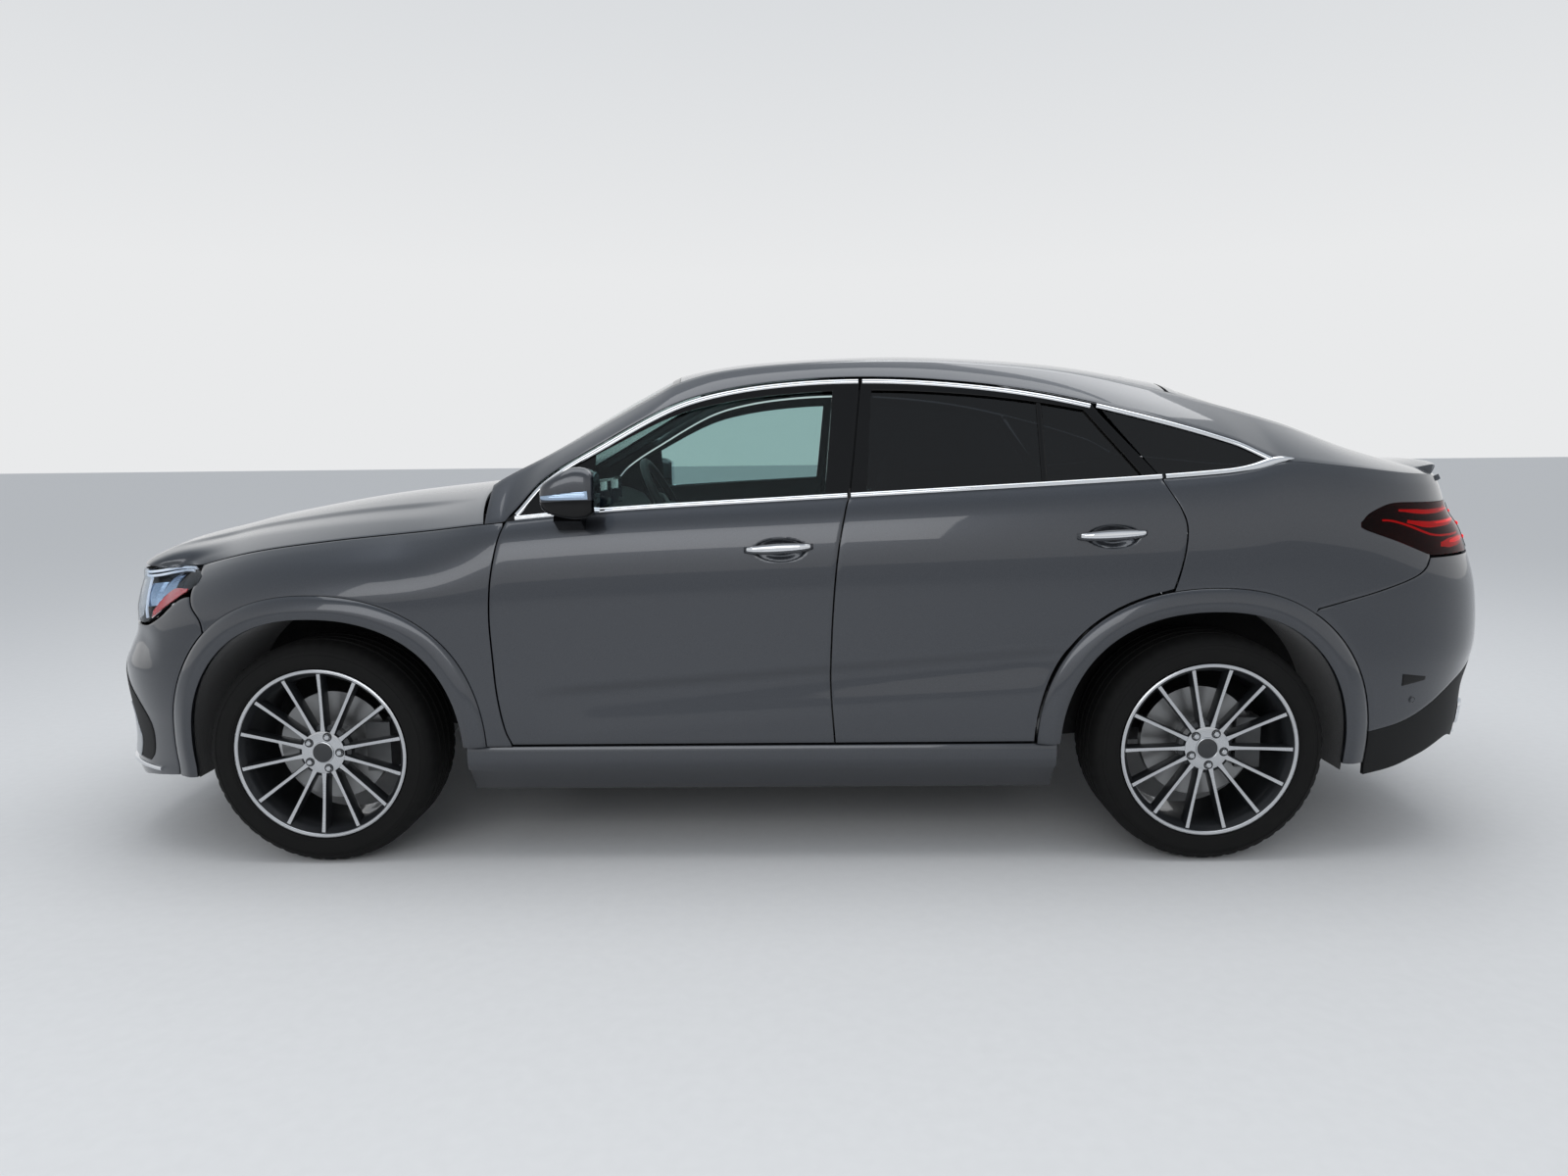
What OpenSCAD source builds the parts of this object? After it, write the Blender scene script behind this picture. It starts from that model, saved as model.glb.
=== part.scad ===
// Coupe sport utility vehicle: unibody with opening doors, bonnet and tailgate, steered front wheels.
// Frame: front towards -X, left side towards -Y, up +Z, ground at z = 0, origin under the middle.

/* [Overall] */
// Distance between the axles
wheelbase = 2935; // [2800:5:3060]
// Front axle to the foremost point
front_overhang = 903; // [860:1:950]
// Rear axle to the rearmost point
rear_overhang = 1106; // [1060:1:1150]
// Width across the doors
body_width = 1970; // [1900:5:2040]
// Ground to the crown of the roof
roof_height = 1720; // [1660:5:1780]

/* [Wheels] */
// Tyre outer radius
tyre_radius = 380; // [365:1:392]
// Radius of the bright rim edge
rim_radius = 290; // [270:1:300]
// Front tyre width
front_tyre_width = 275; // [235:5:285]
// Rear tyre width
rear_tyre_width = 290; // [245:5:300]
// Centre of the front tyre to the middle of the car
front_half_track = 822; // [800:1:830]
// Centre of the rear tyre to the middle of the car
rear_half_track = 830; // [810:1:838]
// Number of spokes in a wheel
spokes = 14; // [8:1:20]
// Width of a spoke at its face
spoke_width = 15; // [8:1:24]
// Bolt circle diameter of the wheel
bolt_circle = 112; // [100:1:130]
// Brake disc radius
disc_radius = 187; // [150:1:200]

/* [Panels] */
// Gap between neighbouring panels
panel_gap = 8; // [7:0.5:10]
// Thickness of a door below its window
door_thickness = 95; // [70:1:110]
// Thickness of a window frame
frame_thickness = 38; // [30:1:42]
// Thickness of fixed panels and bumper covers
panel_thickness = 22; // [15:1:30]
// Gap between pieces that are fixed to each other
seat_gap = 0.6; // [0.3:0.1:1]
// Thickness of a glass pane
glass_thickness = 5; // [4:0.5:8]
// Width of the flare around a wheel opening
flare_width = 76; // [60:1:90]
// How far a flare stands out of the door line
flare_standout = 20; // [12:1:30]
// Front edge of a wheel opening to the tyre
arch_gap_outer = 60; // [50:1:75]
// Door-side edge of a wheel opening to the tyre
arch_gap_inner = 108; // [90:1:120]
// Top of a wheel opening to the tyre
arch_gap_top = 80; // [65:1:95]

/* [Cabin] */
// Underside of the floor above the ground
floor_height = 235; // [200:1:260]
// Thickness of the floor and bulkheads
floor_thickness = 40; // [25:1:55]
// Width of a front seat
seat_width = 540; // [460:5:560]
// Steering wheel radius
steering_radius = 185; // [165:1:200]

/* [Hidden] */
$fn = 96;

paint = "#5b5f66";
black = "#17181a";
glass = "#20262b";
chrome = "#c9ccd0";
rubber = "#151515";
leather = "#2a2a2c";
steel = "#8a8d90";

// Sizes at which the body lines below were drawn
drawn_wheelbase = 2935;
drawn_front = 903;
drawn_rear = 1106;
drawn_half_width = 985;
drawn_height = 1720;

// Axles, with the origin under the middle of the overall length
length = front_overhang + wheelbase + rear_overhang;
front_axle = front_overhang - length / 2;
rear_axle = front_axle + wheelbase;
nose = -length / 2;
tail = length / 2;
drawn_axle = drawn_front - (drawn_front + drawn_wheelbase + drawn_rear) / 2;
half_width = body_width / 2;
wide = half_width / drawn_half_width;
// Heights of the drawing above the belt follow the roof height, those below it stay
belt_height = 1100;
house = (roof_height - belt_height) / (drawn_height - belt_height);
function lift(z) = z < belt_height ? z : belt_height + (z - belt_height) * house;
function drawn_z(z) = z < belt_height ? z : belt_height + (z - belt_height) / house;

// Smooth curve through points [x, value], flat beyond its ends
function curve_seg(p, x, i = 0) = i >= len(p) - 2 || x < p[i + 1][0] ? i : curve_seg(p, x, i + 1);
function curve_slope(p, i) =
    let (a = p[max(0, i - 1)], b = p[min(len(p) - 1, i + 1)]) (b[1] - a[1]) / (b[0] - a[0]);
function curve(p, x) =
    let (
        i = curve_seg(p, x), h = p[i + 1][0] - p[i][0],
        t = min(1, max(0, (x - p[i][0]) / h)),
        a = p[i][1], b = p[i + 1][1], m = curve_slope(p, i) * h, n = curve_slope(p, i + 1) * h
    ) a + t * (m + t * (3 * (b - a) - 2 * m - n + t * (2 * (a - b) + m + n)));

function lerp(a, b, t) = a + (b - a) * t;
function clamp01(t) = min(1, max(0, t));
function ease(t) = let (c = clamp01(t)) c * c * (3 - 2 * c);

// From a place on the car to the drawing and back, along the car
function to_drawn(x) =
    x < front_axle ? drawn_axle + (x - front_axle) * drawn_front / front_overhang
    : x > rear_axle ? drawn_axle + drawn_wheelbase + (x - rear_axle) * drawn_rear / rear_overhang
    : drawn_axle + (x - front_axle) * drawn_wheelbase / wheelbase;
function from_drawn(x) =
    let (d = x - drawn_axle)
    d < 0 ? front_axle + d * front_overhang / drawn_front
    : d > drawn_wheelbase ? rear_axle + (d - drawn_wheelbase) * rear_overhang / drawn_rear
    : front_axle + d * wheelbase / drawn_wheelbase;
function height_line(p, x) = lift(curve(p, to_drawn(x)));
function width_line(p, x) = curve(p, to_drawn(x)) * wide;
function edge_line(p, z) = from_drawn(curve(p, drawn_z(z)));

// Lines of the side view, [along, up]
shoulder_line = [
    [-2200, 946], [-2043, 992], [-1813, 1046], [-1544, 1082], [-1209, 1114], [-989, 1140], [-588, 1174],
    [-17, 1203], [456, 1225], [1081, 1256], [1391, 1277], [1484, 1291], [1578, 1314], [1750, 1300],
    [2000, 1250], [2300, 1180]
];
window_top_line = [
    [-1043, 1146], [-925, 1156], [-806, 1281], [-604, 1406], [-408, 1512], [-278, 1556], [-81, 1590],
    [182, 1606], [474, 1596], [797, 1556], [1114, 1483], [1435, 1386], [1578, 1316], [1640, 1311],
    [1750, 1300],
    [2000, 1250], [2300, 1180]
];
roof_edge_line = [
    [-1043, 1232], [-946, 1290], [-819, 1356], [-689, 1427], [-559, 1499], [-455, 1556], [-387, 1592],
    [-242, 1632], [0, 1657], [300, 1666], [600, 1657], [956, 1621], [1305, 1549], [1689, 1445],
    [1931, 1356], [2120, 1300], [2300, 1250]
];
roof_edge_width = [
    [-1043, 800], [-946, 772], [-819, 735], [-689, 705], [-559, 682], [-387, 660], [-242, 652], [300, 652],
    [600, 646], [956, 635], [1305, 615], [1689, 592], [1931, 578], [2120, 570], [2300, 600]
];
roof_crown_line = [
    [-422, 1646], [-278, 1676], [-144, 1697], [132, 1715], [446, 1720], [956, 1685], [1349, 1613]
];
hood_crown_line = [
    [-2385, 985], [-2345, 1030], [-2280, 1064], [-2180, 1094], [-2000, 1138], [-1600, 1206],
    [-1200, 1250], [-1090, 1258]
];
// Edges of the doors, [up, along]
door_front_edge = [[412, -918], [465, -939], [581, -959], [712, -969], [825, -973], [937, -967],
    [1032, -953], [1108, -936], [1173, -910]];
door_middle_edge = [[412, 143], [606, 130], [767, 134], [927, 144], [1053, 158], [1178, 182], [1224, 195],
    [1610, 241]];
door_rear_edge = [
    [915, 1226], [978, 1245], [1057, 1260], [1119, 1261], [1173, 1243], [1232, 1210], [1262, 1196]
];
window_divider_edge = [[1262, 1196], [1510, 992]];
// Front and rear outlines, [up, set back from the foremost or rearmost point]
nose_profile = [
    [200, 80], [240, 24], [300, 0], [380, 17], [460, 20], [520, 10], [596, 0], [650, 3], [700, 20], [754, 46],
    [850, 76], [945, 94], [1000, 104], [1060, 130]
];
tail_profile = [
    [280, 70], [360, 52], [469, 42], [542, 37], [612, 18], [680, 1], [767, 0], [869, 14], [937, 33],
    [1006, 58],
    [1150, 92], [1194, 107], [1258, 127], [1320, 160]
];
// How far the side tucks in below the widest line, [share of the height from skirt to shoulder, inwards]
side_section = [
    [0, 30], [0.11, 13], [0.3, 3], [0.5, 5], [0.68, 0], [0.8, 4], [0.9, 18], [0.96, 38], [1, 62]
];
skirt_height = 320;
fender_roll = 90 * wide;
tumblehome = 0.46;
plan_roundness = 3.5;
front_taper_x = from_drawn(-1300);
rear_taper_x = from_drawn(1370);

function shoulder(x) = height_line(shoulder_line, x);
function window_top(x) = max(height_line(window_top_line, x),
    shoulder(x) + 16 * ease((1580 - to_drawn(x)) / 60));
function nose_x(z) = nose + curve(nose_profile, drawn_z(z));
function tail_x(z) = tail - curve(tail_profile, drawn_z(z));

// Half width of the body below the shoulder, and of the glasshouse above it
function tuck(x, z) =
    let (t = (z - skirt_height) / (shoulder(x) - skirt_height))
    wide * curve(side_section, t)
    + fender_roll * ease((to_drawn(x) + 900) / -400) * pow(clamp01((t - 0.72) / 0.28), 2);
function plan_share(a) = pow(max(0, 1 - pow(clamp01(a), plan_roundness)), 1 / plan_roundness);
function side_y(x, z) =
    (half_width - tuck(x, z))
    * plan_share((front_taper_x - x) / (front_taper_x - nose_x(z)))
    * plan_share((x - rear_taper_x) / (tail_x(z) - rear_taper_x));
function house_y(x, z) = side_y(x, shoulder(x)) - tumblehome * (z - shoulder(x));
function skin_y(x, z) = z <= shoulder(x) ? side_y(x, z) : house_y(x, z);
function left_skin(x, z, inset = 0) = [x, inset - skin_y(x, z), z];
// The same below the shoulder, set in square to the skin
function left_side(x, z, inset = 0) =
    let (slope = (side_y(x, z) - side_y(x, z - 4)) / 4, n = sqrt(1 + slope * slope))
    [x, inset / n - side_y(x, z), z + inset * slope / n];

// Skin wrapped round the nose and the tail, by an angle from the middle (0) to the side (90)
function wrap_sign(a) = a < 0 ? -1 : 1;
function front_skin(a, z, inset = 0) =
    let (
        c = pow(cos(a), 2 / plan_roundness), s = pow(abs(sin(a)), 2 / plan_roundness),
        x = front_taper_x - (front_taper_x - nose_x(z) - inset) * c
    ) [x, wrap_sign(a) * (half_width - tuck(x, z) - inset) * s, z];
function rear_skin(a, z, inset = 0) =
    let (
        c = pow(cos(a), 2 / plan_roundness), s = pow(abs(sin(a)), 2 / plan_roundness),
        x = rear_taper_x + (tail_x(z) - inset - rear_taper_x) * c
    ) [x, wrap_sign(a) * (half_width - tuck(x, z) - inset) * s, z];
// Angle at which the wrapped skin reaches a place along the car
function front_angle(x, z, inset = 0) =
    acos(pow(clamp01((front_taper_x - x) / (front_taper_x - nose_x(z) - inset)), plan_roundness / 2));
function rear_angle(x, z, inset = 0) =
    acos(pow(clamp01((x - rear_taper_x) / (tail_x(z) - inset - rear_taper_x)), plan_roundness / 2));
// Angle and place along the car at which the tail is this wide
function tail_angle(y, z, inset = 0) =
    asin(pow(clamp01(y / (half_width - tuck(rear_taper_x + 900, z) - inset)), plan_roundness / 2));
function tail_place(y, z) =
    rear_taper_x + (tail_x(z) - rear_taper_x) * plan_share(y / (half_width - tuck(rear_taper_x + 900, z)));

// Wheel openings: outline by an angle from the bumper side (0) over the top (90) to the door side (180)
arch_roundness = 2.25;
arch_centre_z = tyre_radius;
function arch_point(axle, out, a, off) =
    let (
        c = cos(a), reach = tyre_radius + off + (c > 0 ? arch_gap_outer : arch_gap_inner),
        top = tyre_radius + off + arch_gap_top
    ) [
        axle + out * wrap_sign(c) * reach * pow(abs(c), 2 / arch_roundness),
        arch_centre_z + top * pow(max(0, sin(a)), 2 / arch_roundness)
    ];

// Where the outline of a wheel opening stands at a height
function arch_side(axle, out, door_side, z, off) =
    let (
        s = pow(clamp01((z - arch_centre_z) / (tyre_radius + off + arch_gap_top)), arch_roundness / 2),
        reach = tyre_radius + off + (door_side ? arch_gap_inner : arch_gap_outer)
    ) axle + (door_side ? -out : out) * reach * pow(sqrt(max(0, 1 - s * s)), 2 / arch_roundness);

// Solids from grids of points
// Closed sheet between an outer and an inner grid; keep[row][column] leaves cells out for openings
module sheet(outer, inner, keep = undef) {
    rows = len(outer);
    cols = len(outer[0]);
    far = rows * cols;
    function kept(i, j) =
        i >= 0 && j >= 0 && i < cols - 1 && j < rows - 1 && (is_undef(keep) || keep[j][i]);
    function at(i, j, side = 0) = side * far + j * cols + i;
    function quad(a, b, c, d) = [[a, b, c], [a, c, d]];
    cells = [for (j = [0:rows - 2], i = [0:cols - 2]) if (kept(i, j)) [i, j]];
    faces = [
        for (c = cells) let (i = c[0], j = c[1])
            each concat(
                quad(at(i, j), at(i + 1, j), at(i + 1, j + 1), at(i, j + 1)),
                quad(at(i, j, 1), at(i, j + 1, 1), at(i + 1, j + 1, 1), at(i + 1, j, 1)),
                kept(i, j - 1) ? [] : quad(at(i, j, 1), at(i + 1, j, 1), at(i + 1, j), at(i, j)),
                kept(i + 1, j) ? [] : quad(at(i + 1, j, 1), at(i + 1, j + 1, 1), at(i + 1, j + 1),
                    at(i + 1, j)),
                kept(i, j + 1) ? [] : quad(at(i + 1, j + 1, 1), at(i, j + 1, 1), at(i, j + 1),
                    at(i + 1, j + 1)),
                kept(i - 1, j) ? [] : quad(at(i, j + 1, 1), at(i, j, 1), at(i, j), at(i, j + 1))
            )
    ];
    // Faces run clockwise seen from outside, whichever way the grid was given
    i = floor((cols - 1) / 2);
    j = floor((rows - 1) / 2);
    facing = cross(outer[j][i + 1] - outer[j][i], outer[j + 1][i] - outer[j][i]);
    flip = facing * (outer[j][i] - inner[j][i]) > 0;
    polyhedron(
        concat([for (r = outer) each r], [for (r = inner) each r]),
        [for (f = faces) flip ? [f[0], f[2], f[1]] : f]
    );
}
module both_sides() {
    children();
    mirror([0, 1, 0]) children();
}
function steps(n) = [for (i = [0:n]) i / n];

// Wheels and brakes
module tyre(width) {
    w = width / 2;
    bead = rim_radius - 14;
    color(rubber) rotate([90, 0, 0]) rotate_extrude($fn = 128) polygon([
        [bead, -w + 24], [rim_radius - 2, -w + 20], [rim_radius + 4, -w + 6], [rim_radius + 34, -w],
        [tyre_radius - 30, -w + 6], [tyre_radius - 9, -w + 22], [tyre_radius, -w + 48], [tyre_radius, w - 48],
        [tyre_radius - 9, w - 22], [tyre_radius - 30, w - 6], [rim_radius + 34, w], [rim_radius + 4, w - 6],
        [rim_radius - 2, w - 20], [bead, w - 24]
    ]);
}
rim_seat = 0.3;
hub_radius = 88;
// Stub axles, kingpins and the steering column turn in bores this much wider
running_gap = 0.05;
stub_radius = 32;
// Wheel about the Y axis, with its face towards -Y; the face plane is at -face
module wheel(width) {
    face = width / 2 - 12;
    barrel = rim_radius - 14 - rim_seat;
    color(chrome) rotate([90, 0, 0]) difference() {
        union() {
            rotate_extrude($fn = 128) polygon([
                [barrel, -width / 2 + 26], [barrel, face - 10], [rim_radius - 4, face - 6],
                [rim_radius, face + 2],
                [rim_radius - 6, face + 8], [rim_radius - 16, face + 6], [barrel - 14, face - 14],
                [barrel - 22, 10], [barrel - 14, -width / 2 + 26]
            ]);
            translate([0, 0, face - 62]) cylinder(r = hub_radius, h = 42);
            for (k = [0:spokes - 1]) rotate(k * 360 / spokes) spoke(barrel, face);
        }
        translate([0, 0, face - 70]) cylinder(r = stub_radius + running_gap, h = 80);
        for (k = [0:4]) rotate(k * 72 + 36) translate([bolt_circle / 2, 0, face - 70])
            cylinder(r = 11, h = 80);
    }
}
// One spoke: a tapering bar, its outer end out at the rim's lip and its inner end set back at the hub
module spoke(barrel, face) {
    hub_top = face - 20;
    rotate([90, 0, 0]) translate([0, 0, -spoke_width / 2]) linear_extrude(spoke_width) polygon([
        [hub_radius - 12, hub_top - 39], [hub_radius - 12, hub_top - 1], [barrel - 2, face + 2],
        [barrel - 2, face - 52]
    ]);
}
disc_offset = 60;
module disc(width) {
    face = width / 2 - 12;
    color(steel) rotate([90, 0, 0]) {
        difference() {
            union() {
                translate([0, 0, face - 62 - disc_offset - 26]) cylinder(r = disc_radius, h = 32);
                translate([0, 0, face - 62 - disc_offset]) cylinder(r = 80, h = disc_offset - seat_gap);
            }
            translate([0, 0, face - 62 - disc_offset - 40])
                cylinder(r = stub_radius + running_gap, h = disc_offset + 60);
        }
    }
}
module at_wheel(axle, half_track, side) {
    translate([axle, side * half_track, tyre_radius]) rotate([0, 0, side < 0 ? 0 : 180]) children();
}

// Body sides
function roof_edge(x) = height_line(roof_edge_line, x);
function roof_edge_y(x) = width_line(roof_edge_width, x);
frame_depth = 45;
frame_columns = [
    -984, -940, -880, -800, -700, -600, -500, -408, -320, -240, -120, 0, 182, 330, 474, 640, 797, 956,
    1114, 1262,
    1420, 1510, 1580, 1640, 1703, 1790, 1890, 1935, 2000, 2066, 2140, 2196, 2220
];
// The rear end leans forward upwards along the edge of the tailgate
function frame_lean(x, t) = x > from_drawn(2200) ? 16 * t : 0;
function frame_point(x, t) =
    [x, -lerp(house_y(x, window_top(x)), roof_edge_y(x), t) - 8 * sin(180 * t),
        lerp(window_top(x), roof_edge(x), t)];
module roof_frame() {
    xs = [for (x = frame_columns) from_drawn(x)];
    ts = [0, 0.5, 1];
    color(paint) both_sides() sheet(
        [for (t = ts) [for (x = xs) frame_point(x - frame_lean(x, t), t)]],
        [for (t = ts) [for (x = xs)
            frame_point(x - frame_lean(x, t), t) + [0, frame_depth * (1 - t), -frame_depth * t]]]
    );
}
pillar_half = 50;
// Door hinges: the axis lies this far behind the door's front edge; a pad of the post stands behind its sweep
hinge_set = 41;
hinge_z = 730;
pad_height = 60;
pad_length = 34;
front_hinge_x = from_drawn(-928);
rear_hinge_x = from_drawn(172);
module hinge_pad(hinge_x, depth) {
    x = hinge_x + hinge_set + 6;
    y = max([for (dx = [0, pad_length], dz = [-1, 0, 1])
        left_skin(x + dx, hinge_z + dz * pad_height / 2, door_thickness)[1]]) + seat_gap;
    block(x, x + pad_length, y, y + depth, hinge_z - pad_height / 2, hinge_z + pad_height / 2);
}
module b_pillars() {
    top = window_top(edge_line(door_middle_edge, lift(1600)) + pillar_half) + 4;
    zs = concat([sill_top + seat_gap],
        [for (z = [600, 850, 1060, 1110, 1160, 1200, 1240, 1300, 1400]) lift(z)], [top]);
    color(black) both_sides() union() {
        sheet(
            [for (z = zs) let (m = edge_line(door_middle_edge, z)) [for (d = [-1, 1])
                left_skin(m + d * pillar_half, z, pillar_inset(m, z))]],
            [for (z = zs) let (m = edge_line(door_middle_edge, z)) [for (d = [-1, 1])
                left_skin(m + d * pillar_half, z, pillar_inset(m, z) + 60)]]
        );
        hinge_pad(rear_hinge_x, 60);
        translate([0, -half_width + door_thickness + 36, 0])
            block(rear_hinge_x - 40, rear_hinge_x + hinge_set + 30, 0, 30, hinge_z - pad_height / 2,
                hinge_z + pad_height / 2);
    }
}
function pillar_inset(x, z) = max(door_depth(x, z) + 18, frame_depth + seat_gap);
function door_depth(x, z) = lerp(door_thickness, frame_thickness, ease((z - shoulder(x) + 90) / 120));

sill_top = 408;
sill_front = front_axle + tyre_radius + arch_gap_inner + 8;
sill_rear = rear_axle - tyre_radius - arch_gap_inner - 8;
sill_inner = 770 * wide;
module sills() {
    outer = half_width - 16;
    color(paint) both_sides() translate([sill_front, 0, 0]) rotate([90, 0, 90])
        linear_extrude(sill_rear - sill_front)
        polygon([
            [-sill_inner, floor_height], [-sill_inner, sill_top], [-outer + 14, sill_top],
            [-outer + 4, sill_top - 6],
            [-outer, sill_top - 22], [-outer + 6, skirt_height + 12], [-outer + 30, skirt_height],
            [-outer + 90, floor_height]
        ]);
}

// Doors: columns run from the front edge to the rear edge, rows from the sill up to the window top
function front_door_x(f, z) =
    lerp(edge_line(door_front_edge, z) + panel_gap / 2, edge_line(door_middle_edge, z) - panel_gap / 2, f);
function rear_edge_x(z) =
    z > shoulder_rear ? edge_line(window_divider_edge, z)
    : z > door_flare_z ? edge_line(door_rear_edge, z)
    : min(edge_line(door_rear_edge, door_flare_z),
        arch_side(rear_axle, 1, true, z, flare_width + panel_gap / 2 + 3));
door_flare_z = arch_centre_z + tyre_radius + flare_width + arch_gap_top;
shoulder_rear = lift(1262);
function rear_door_x(f, z) =
    lerp(edge_line(door_middle_edge, z) + panel_gap / 2, rear_edge_x(z) - panel_gap / 2, f);
function door_top(x) =
    let (m = (window_top(x + 20) - window_top(x - 20)) / 40) window_top(x) - (panel_gap + 2) * sqrt(1 + m * m);
// A point of a door; h is below 1 under the shoulder, 1 to 2 between shoulder and window top
function door_point(f, h, front, depth) =
    let (
        x0 = front ? front_door_x(f, lerp(door_bottom, lift(1150), min(h, 1)))
            : rear_door_x(f, door_row_z(h)),
        z0 = h <= 1 ? lerp(door_bottom, shoulder(x0), h) : lerp(shoulder(x0), door_top(x0), h - 1),
        x1 = !front ? rear_door_x(f, z0) : h <= 1 ? front_door_x(f, z0)
            : lerp(front_door_x(f, shoulder(x0)), front_door_x(f, z0), f * f),
        z = h <= 1 ? lerp(door_bottom, shoulder(x1), h) : lerp(shoulder(x1), door_top(x1), h - 1)
    ) left_skin(x1, z, depth ? door_depth(x1, z) : 0);
function door_row_z(h) = h <= 1 ? lerp(door_bottom, lift(1240), h) : lift(lerp(1240, 1540, h - 1));
door_bottom = sill_top + panel_gap;
door_rows = [0, 0.1, 0.2, 0.3, 0.39, 0.47, 0.53, 0.58, 0.615, 0.7, 0.8, 0.9, 0.96, 1, 1.1, 1.45, 1.84, 2];
front_door_cols = [0, 0.1, 0.16, 0.28, 0.42, 0.56, 0.7, 0.82, 0.93, 1];
rear_door_cols = [0, 0.05, 0.16, 0.3, 0.45, 0.6, 0.75, 0.87, 0.95, 1];
// The window opening leaves out the cells inside the frame
function door_keep(cols, first, last) = [
    for (j = [0:len(door_rows) - 2]) [for (i = [0:len(cols) - 2])
        !(door_rows[j] >= 1 && door_rows[j + 1] < 2 && i >= first && i <= last)]
];
module left_door(front) {
    cols = front ? front_door_cols : rear_door_cols;
    color(paint) sheet(
        [for (h = door_rows) [for (f = cols) door_point(f, h, front, false)]],
        [for (h = door_rows) [for (f = cols) door_point(f, h, front, true)]],
        door_keep(cols, front ? 2 : 1, front ? 7 : 7)
    );
}
module left_door_glass(front) {
    cols = front ? [for (i = [2:8]) front_door_cols[i]] : [for (i = [1:8]) rear_door_cols[i]];
    hs = [1, 1.1, 1.45, 1.84];
    e = 0.8;
    function pane(f, h, inset) =
        let (p = door_point(f, h, front, false)) [p[0], p[1] + inset, p[2]];
    function shrink(i, n) = i == 0 ? 1 : i == n ? -1 : 0;
    color(glass) sheet(
        [for (j = [0:3]) [for (i = [0:len(cols) - 1])
            pane(cols[i], hs[j], 14) + [shrink(i, len(cols) - 1), 0, shrink(j, 3)] * e]],
        [for (j = [0:3]) [for (i = [0:len(cols) - 1])
            pane(cols[i], hs[j], 14 + glass_thickness) + [shrink(i, len(cols) - 1), 0, shrink(j, 3)] * e]]
    );
}

// Front fender between the flare, the bonnet edge and the door
fender_angles = [48, 60, 72, 84, 96, 108, 120, 132, 144, 156, 168];
fender_corner = 6;
fender_last = len(fender_angles);
fender_foot = sill_top + seat_gap;
function fender_inner(k) =
    k < fender_last ? arch_point(front_axle, -1, fender_angles[k], flare_width + seat_gap)
    : [arch_side(front_axle, -1, true, fender_foot, flare_width + seat_gap), fender_foot];
function fender_outer(k) =
    k <= fender_corner
    ? let (x = lerp(from_drawn(-2006), from_drawn(-925) - panel_gap, k / fender_corner))
        [x, shoulder(x) - panel_gap / 2]
    : let (
        top = shoulder(from_drawn(-925)) - panel_gap / 2,
        z = lerp(top, fender_foot, (k - fender_corner) / (fender_last - fender_corner))
    ) [edge_line(door_front_edge, z) - panel_gap / 2 - 3, z];
// The front edge runs forward under the headlamp and back round its tip, [share of the height, along]
fender_nose_bow = [[0, 0], [0.2, 3], [0.42, -19], [0.65, -16], [0.82, 10], [0.93, 4], [1, 0]];
function fender_point(k, r) =
    lerp(fender_inner(k), fender_outer(k), r) + [k == 0 ? curve(fender_nose_bow, r) : 0, 0];
module fenders() {
    rs = [0, 0.2, 0.42, 0.65, 0.82, 0.93, 1];
    function thick(k, r) = r == 1 && k > fender_corner ? 6 : panel_thickness;
    color(paint) both_sides() sheet(
        [for (r = rs) [for (k = [0:fender_last]) let (p = fender_point(k, r)) left_side(p[0], p[1])]],
        [for (r = rs) [for (k = [0:fender_last]) let (p = fender_point(k, r))
            r == 0 ? left_skin(p[0], p[1], panel_thickness) : left_side(p[0], p[1], thick(k, r))]]
    );
}

// Flares round the four wheel openings
module flare(axle, out) {
    path = concat([[0, skirt_height + 8]], [for (a = [0:12:168]) [a, -1]], [[180, sill_top + seat_gap]]);
    offs = [flare_width, flare_width - 14, flare_width * 0.35, 0];
    outs = [3, flare_standout * 0.6, flare_standout, flare_standout * 0.5];
    function flare_point(p, k, inset) =
        let (
            q = arch_point(axle, out, p[0], offs[k]), z = p[1] < 0 ? q[1] : p[1],
            x = p[0] < 180 ? q[0] : arch_side(axle, out, true, z, offs[k])
        ) [x, inset - outs[k] - skin_y(x, z), z];
    color(paint) sheet(
        [for (k = [0:3]) [for (p = path) flare_point(p, k, 0)]],
        [for (k = [0:3]) [for (p = path) flare_point(p, k, 26)]]
    );
}
module arch_flares() {
    both_sides() {
        flare(front_axle, -1);
        flare(rear_axle, 1);
    }
}

// Quarter panel from the rear door to the tailgate, with the tail lamp left open
lamp_low_line = [[1228, 1050], [1700, 1062], [1890, 1084], [1935, 1066], [2035, 1028], [2117, 1004],
    [2240, 998], [2330, 998]];
lamp_high_line = [[1228, 1112], [1700, 1130], [1890, 1116], [1930, 1140], [1980, 1164], [2040, 1173],
    [2240, 1175], [2330, 1175]];
bumper_side_line = [[1690, 846], [1790, 873], [1883, 898], [2005, 938], [2050, 966], [2066, 998]];
bumper_side_edge = [[846, 1690], [873, 1790], [898, 1883], [938, 2005], [966, 2050], [998, 2066]];
tailgate_half = 690 * wide;
function flare_top(x, axle, off) =
    let (
        d = (x - axle) / (tyre_radius + off + (x > axle ? arch_gap_outer : arch_gap_inner)),
        c = pow(min(1, abs(d)), arch_roundness / 2)
    ) arch_centre_z + (tyre_radius + off + arch_gap_top) * pow(sqrt(max(0, 1 - c * c)), 2 / arch_roundness);
function quarter_floor(x) =
    max(
        flare_top(x, rear_axle, flare_width + seat_gap + 1),
        to_drawn(x) > 1680 ? height_line(bumper_side_line, x) + panel_gap / 2 : 0
    );
quarter_columns = [1228, 1295, 1350, 1420, 1510, 1580, 1640, 1703, 1790, 1890, 1935, 2000, 2066, 2140,
    2196, 2300];
quarter_last = len(quarter_columns) - 1;
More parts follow.
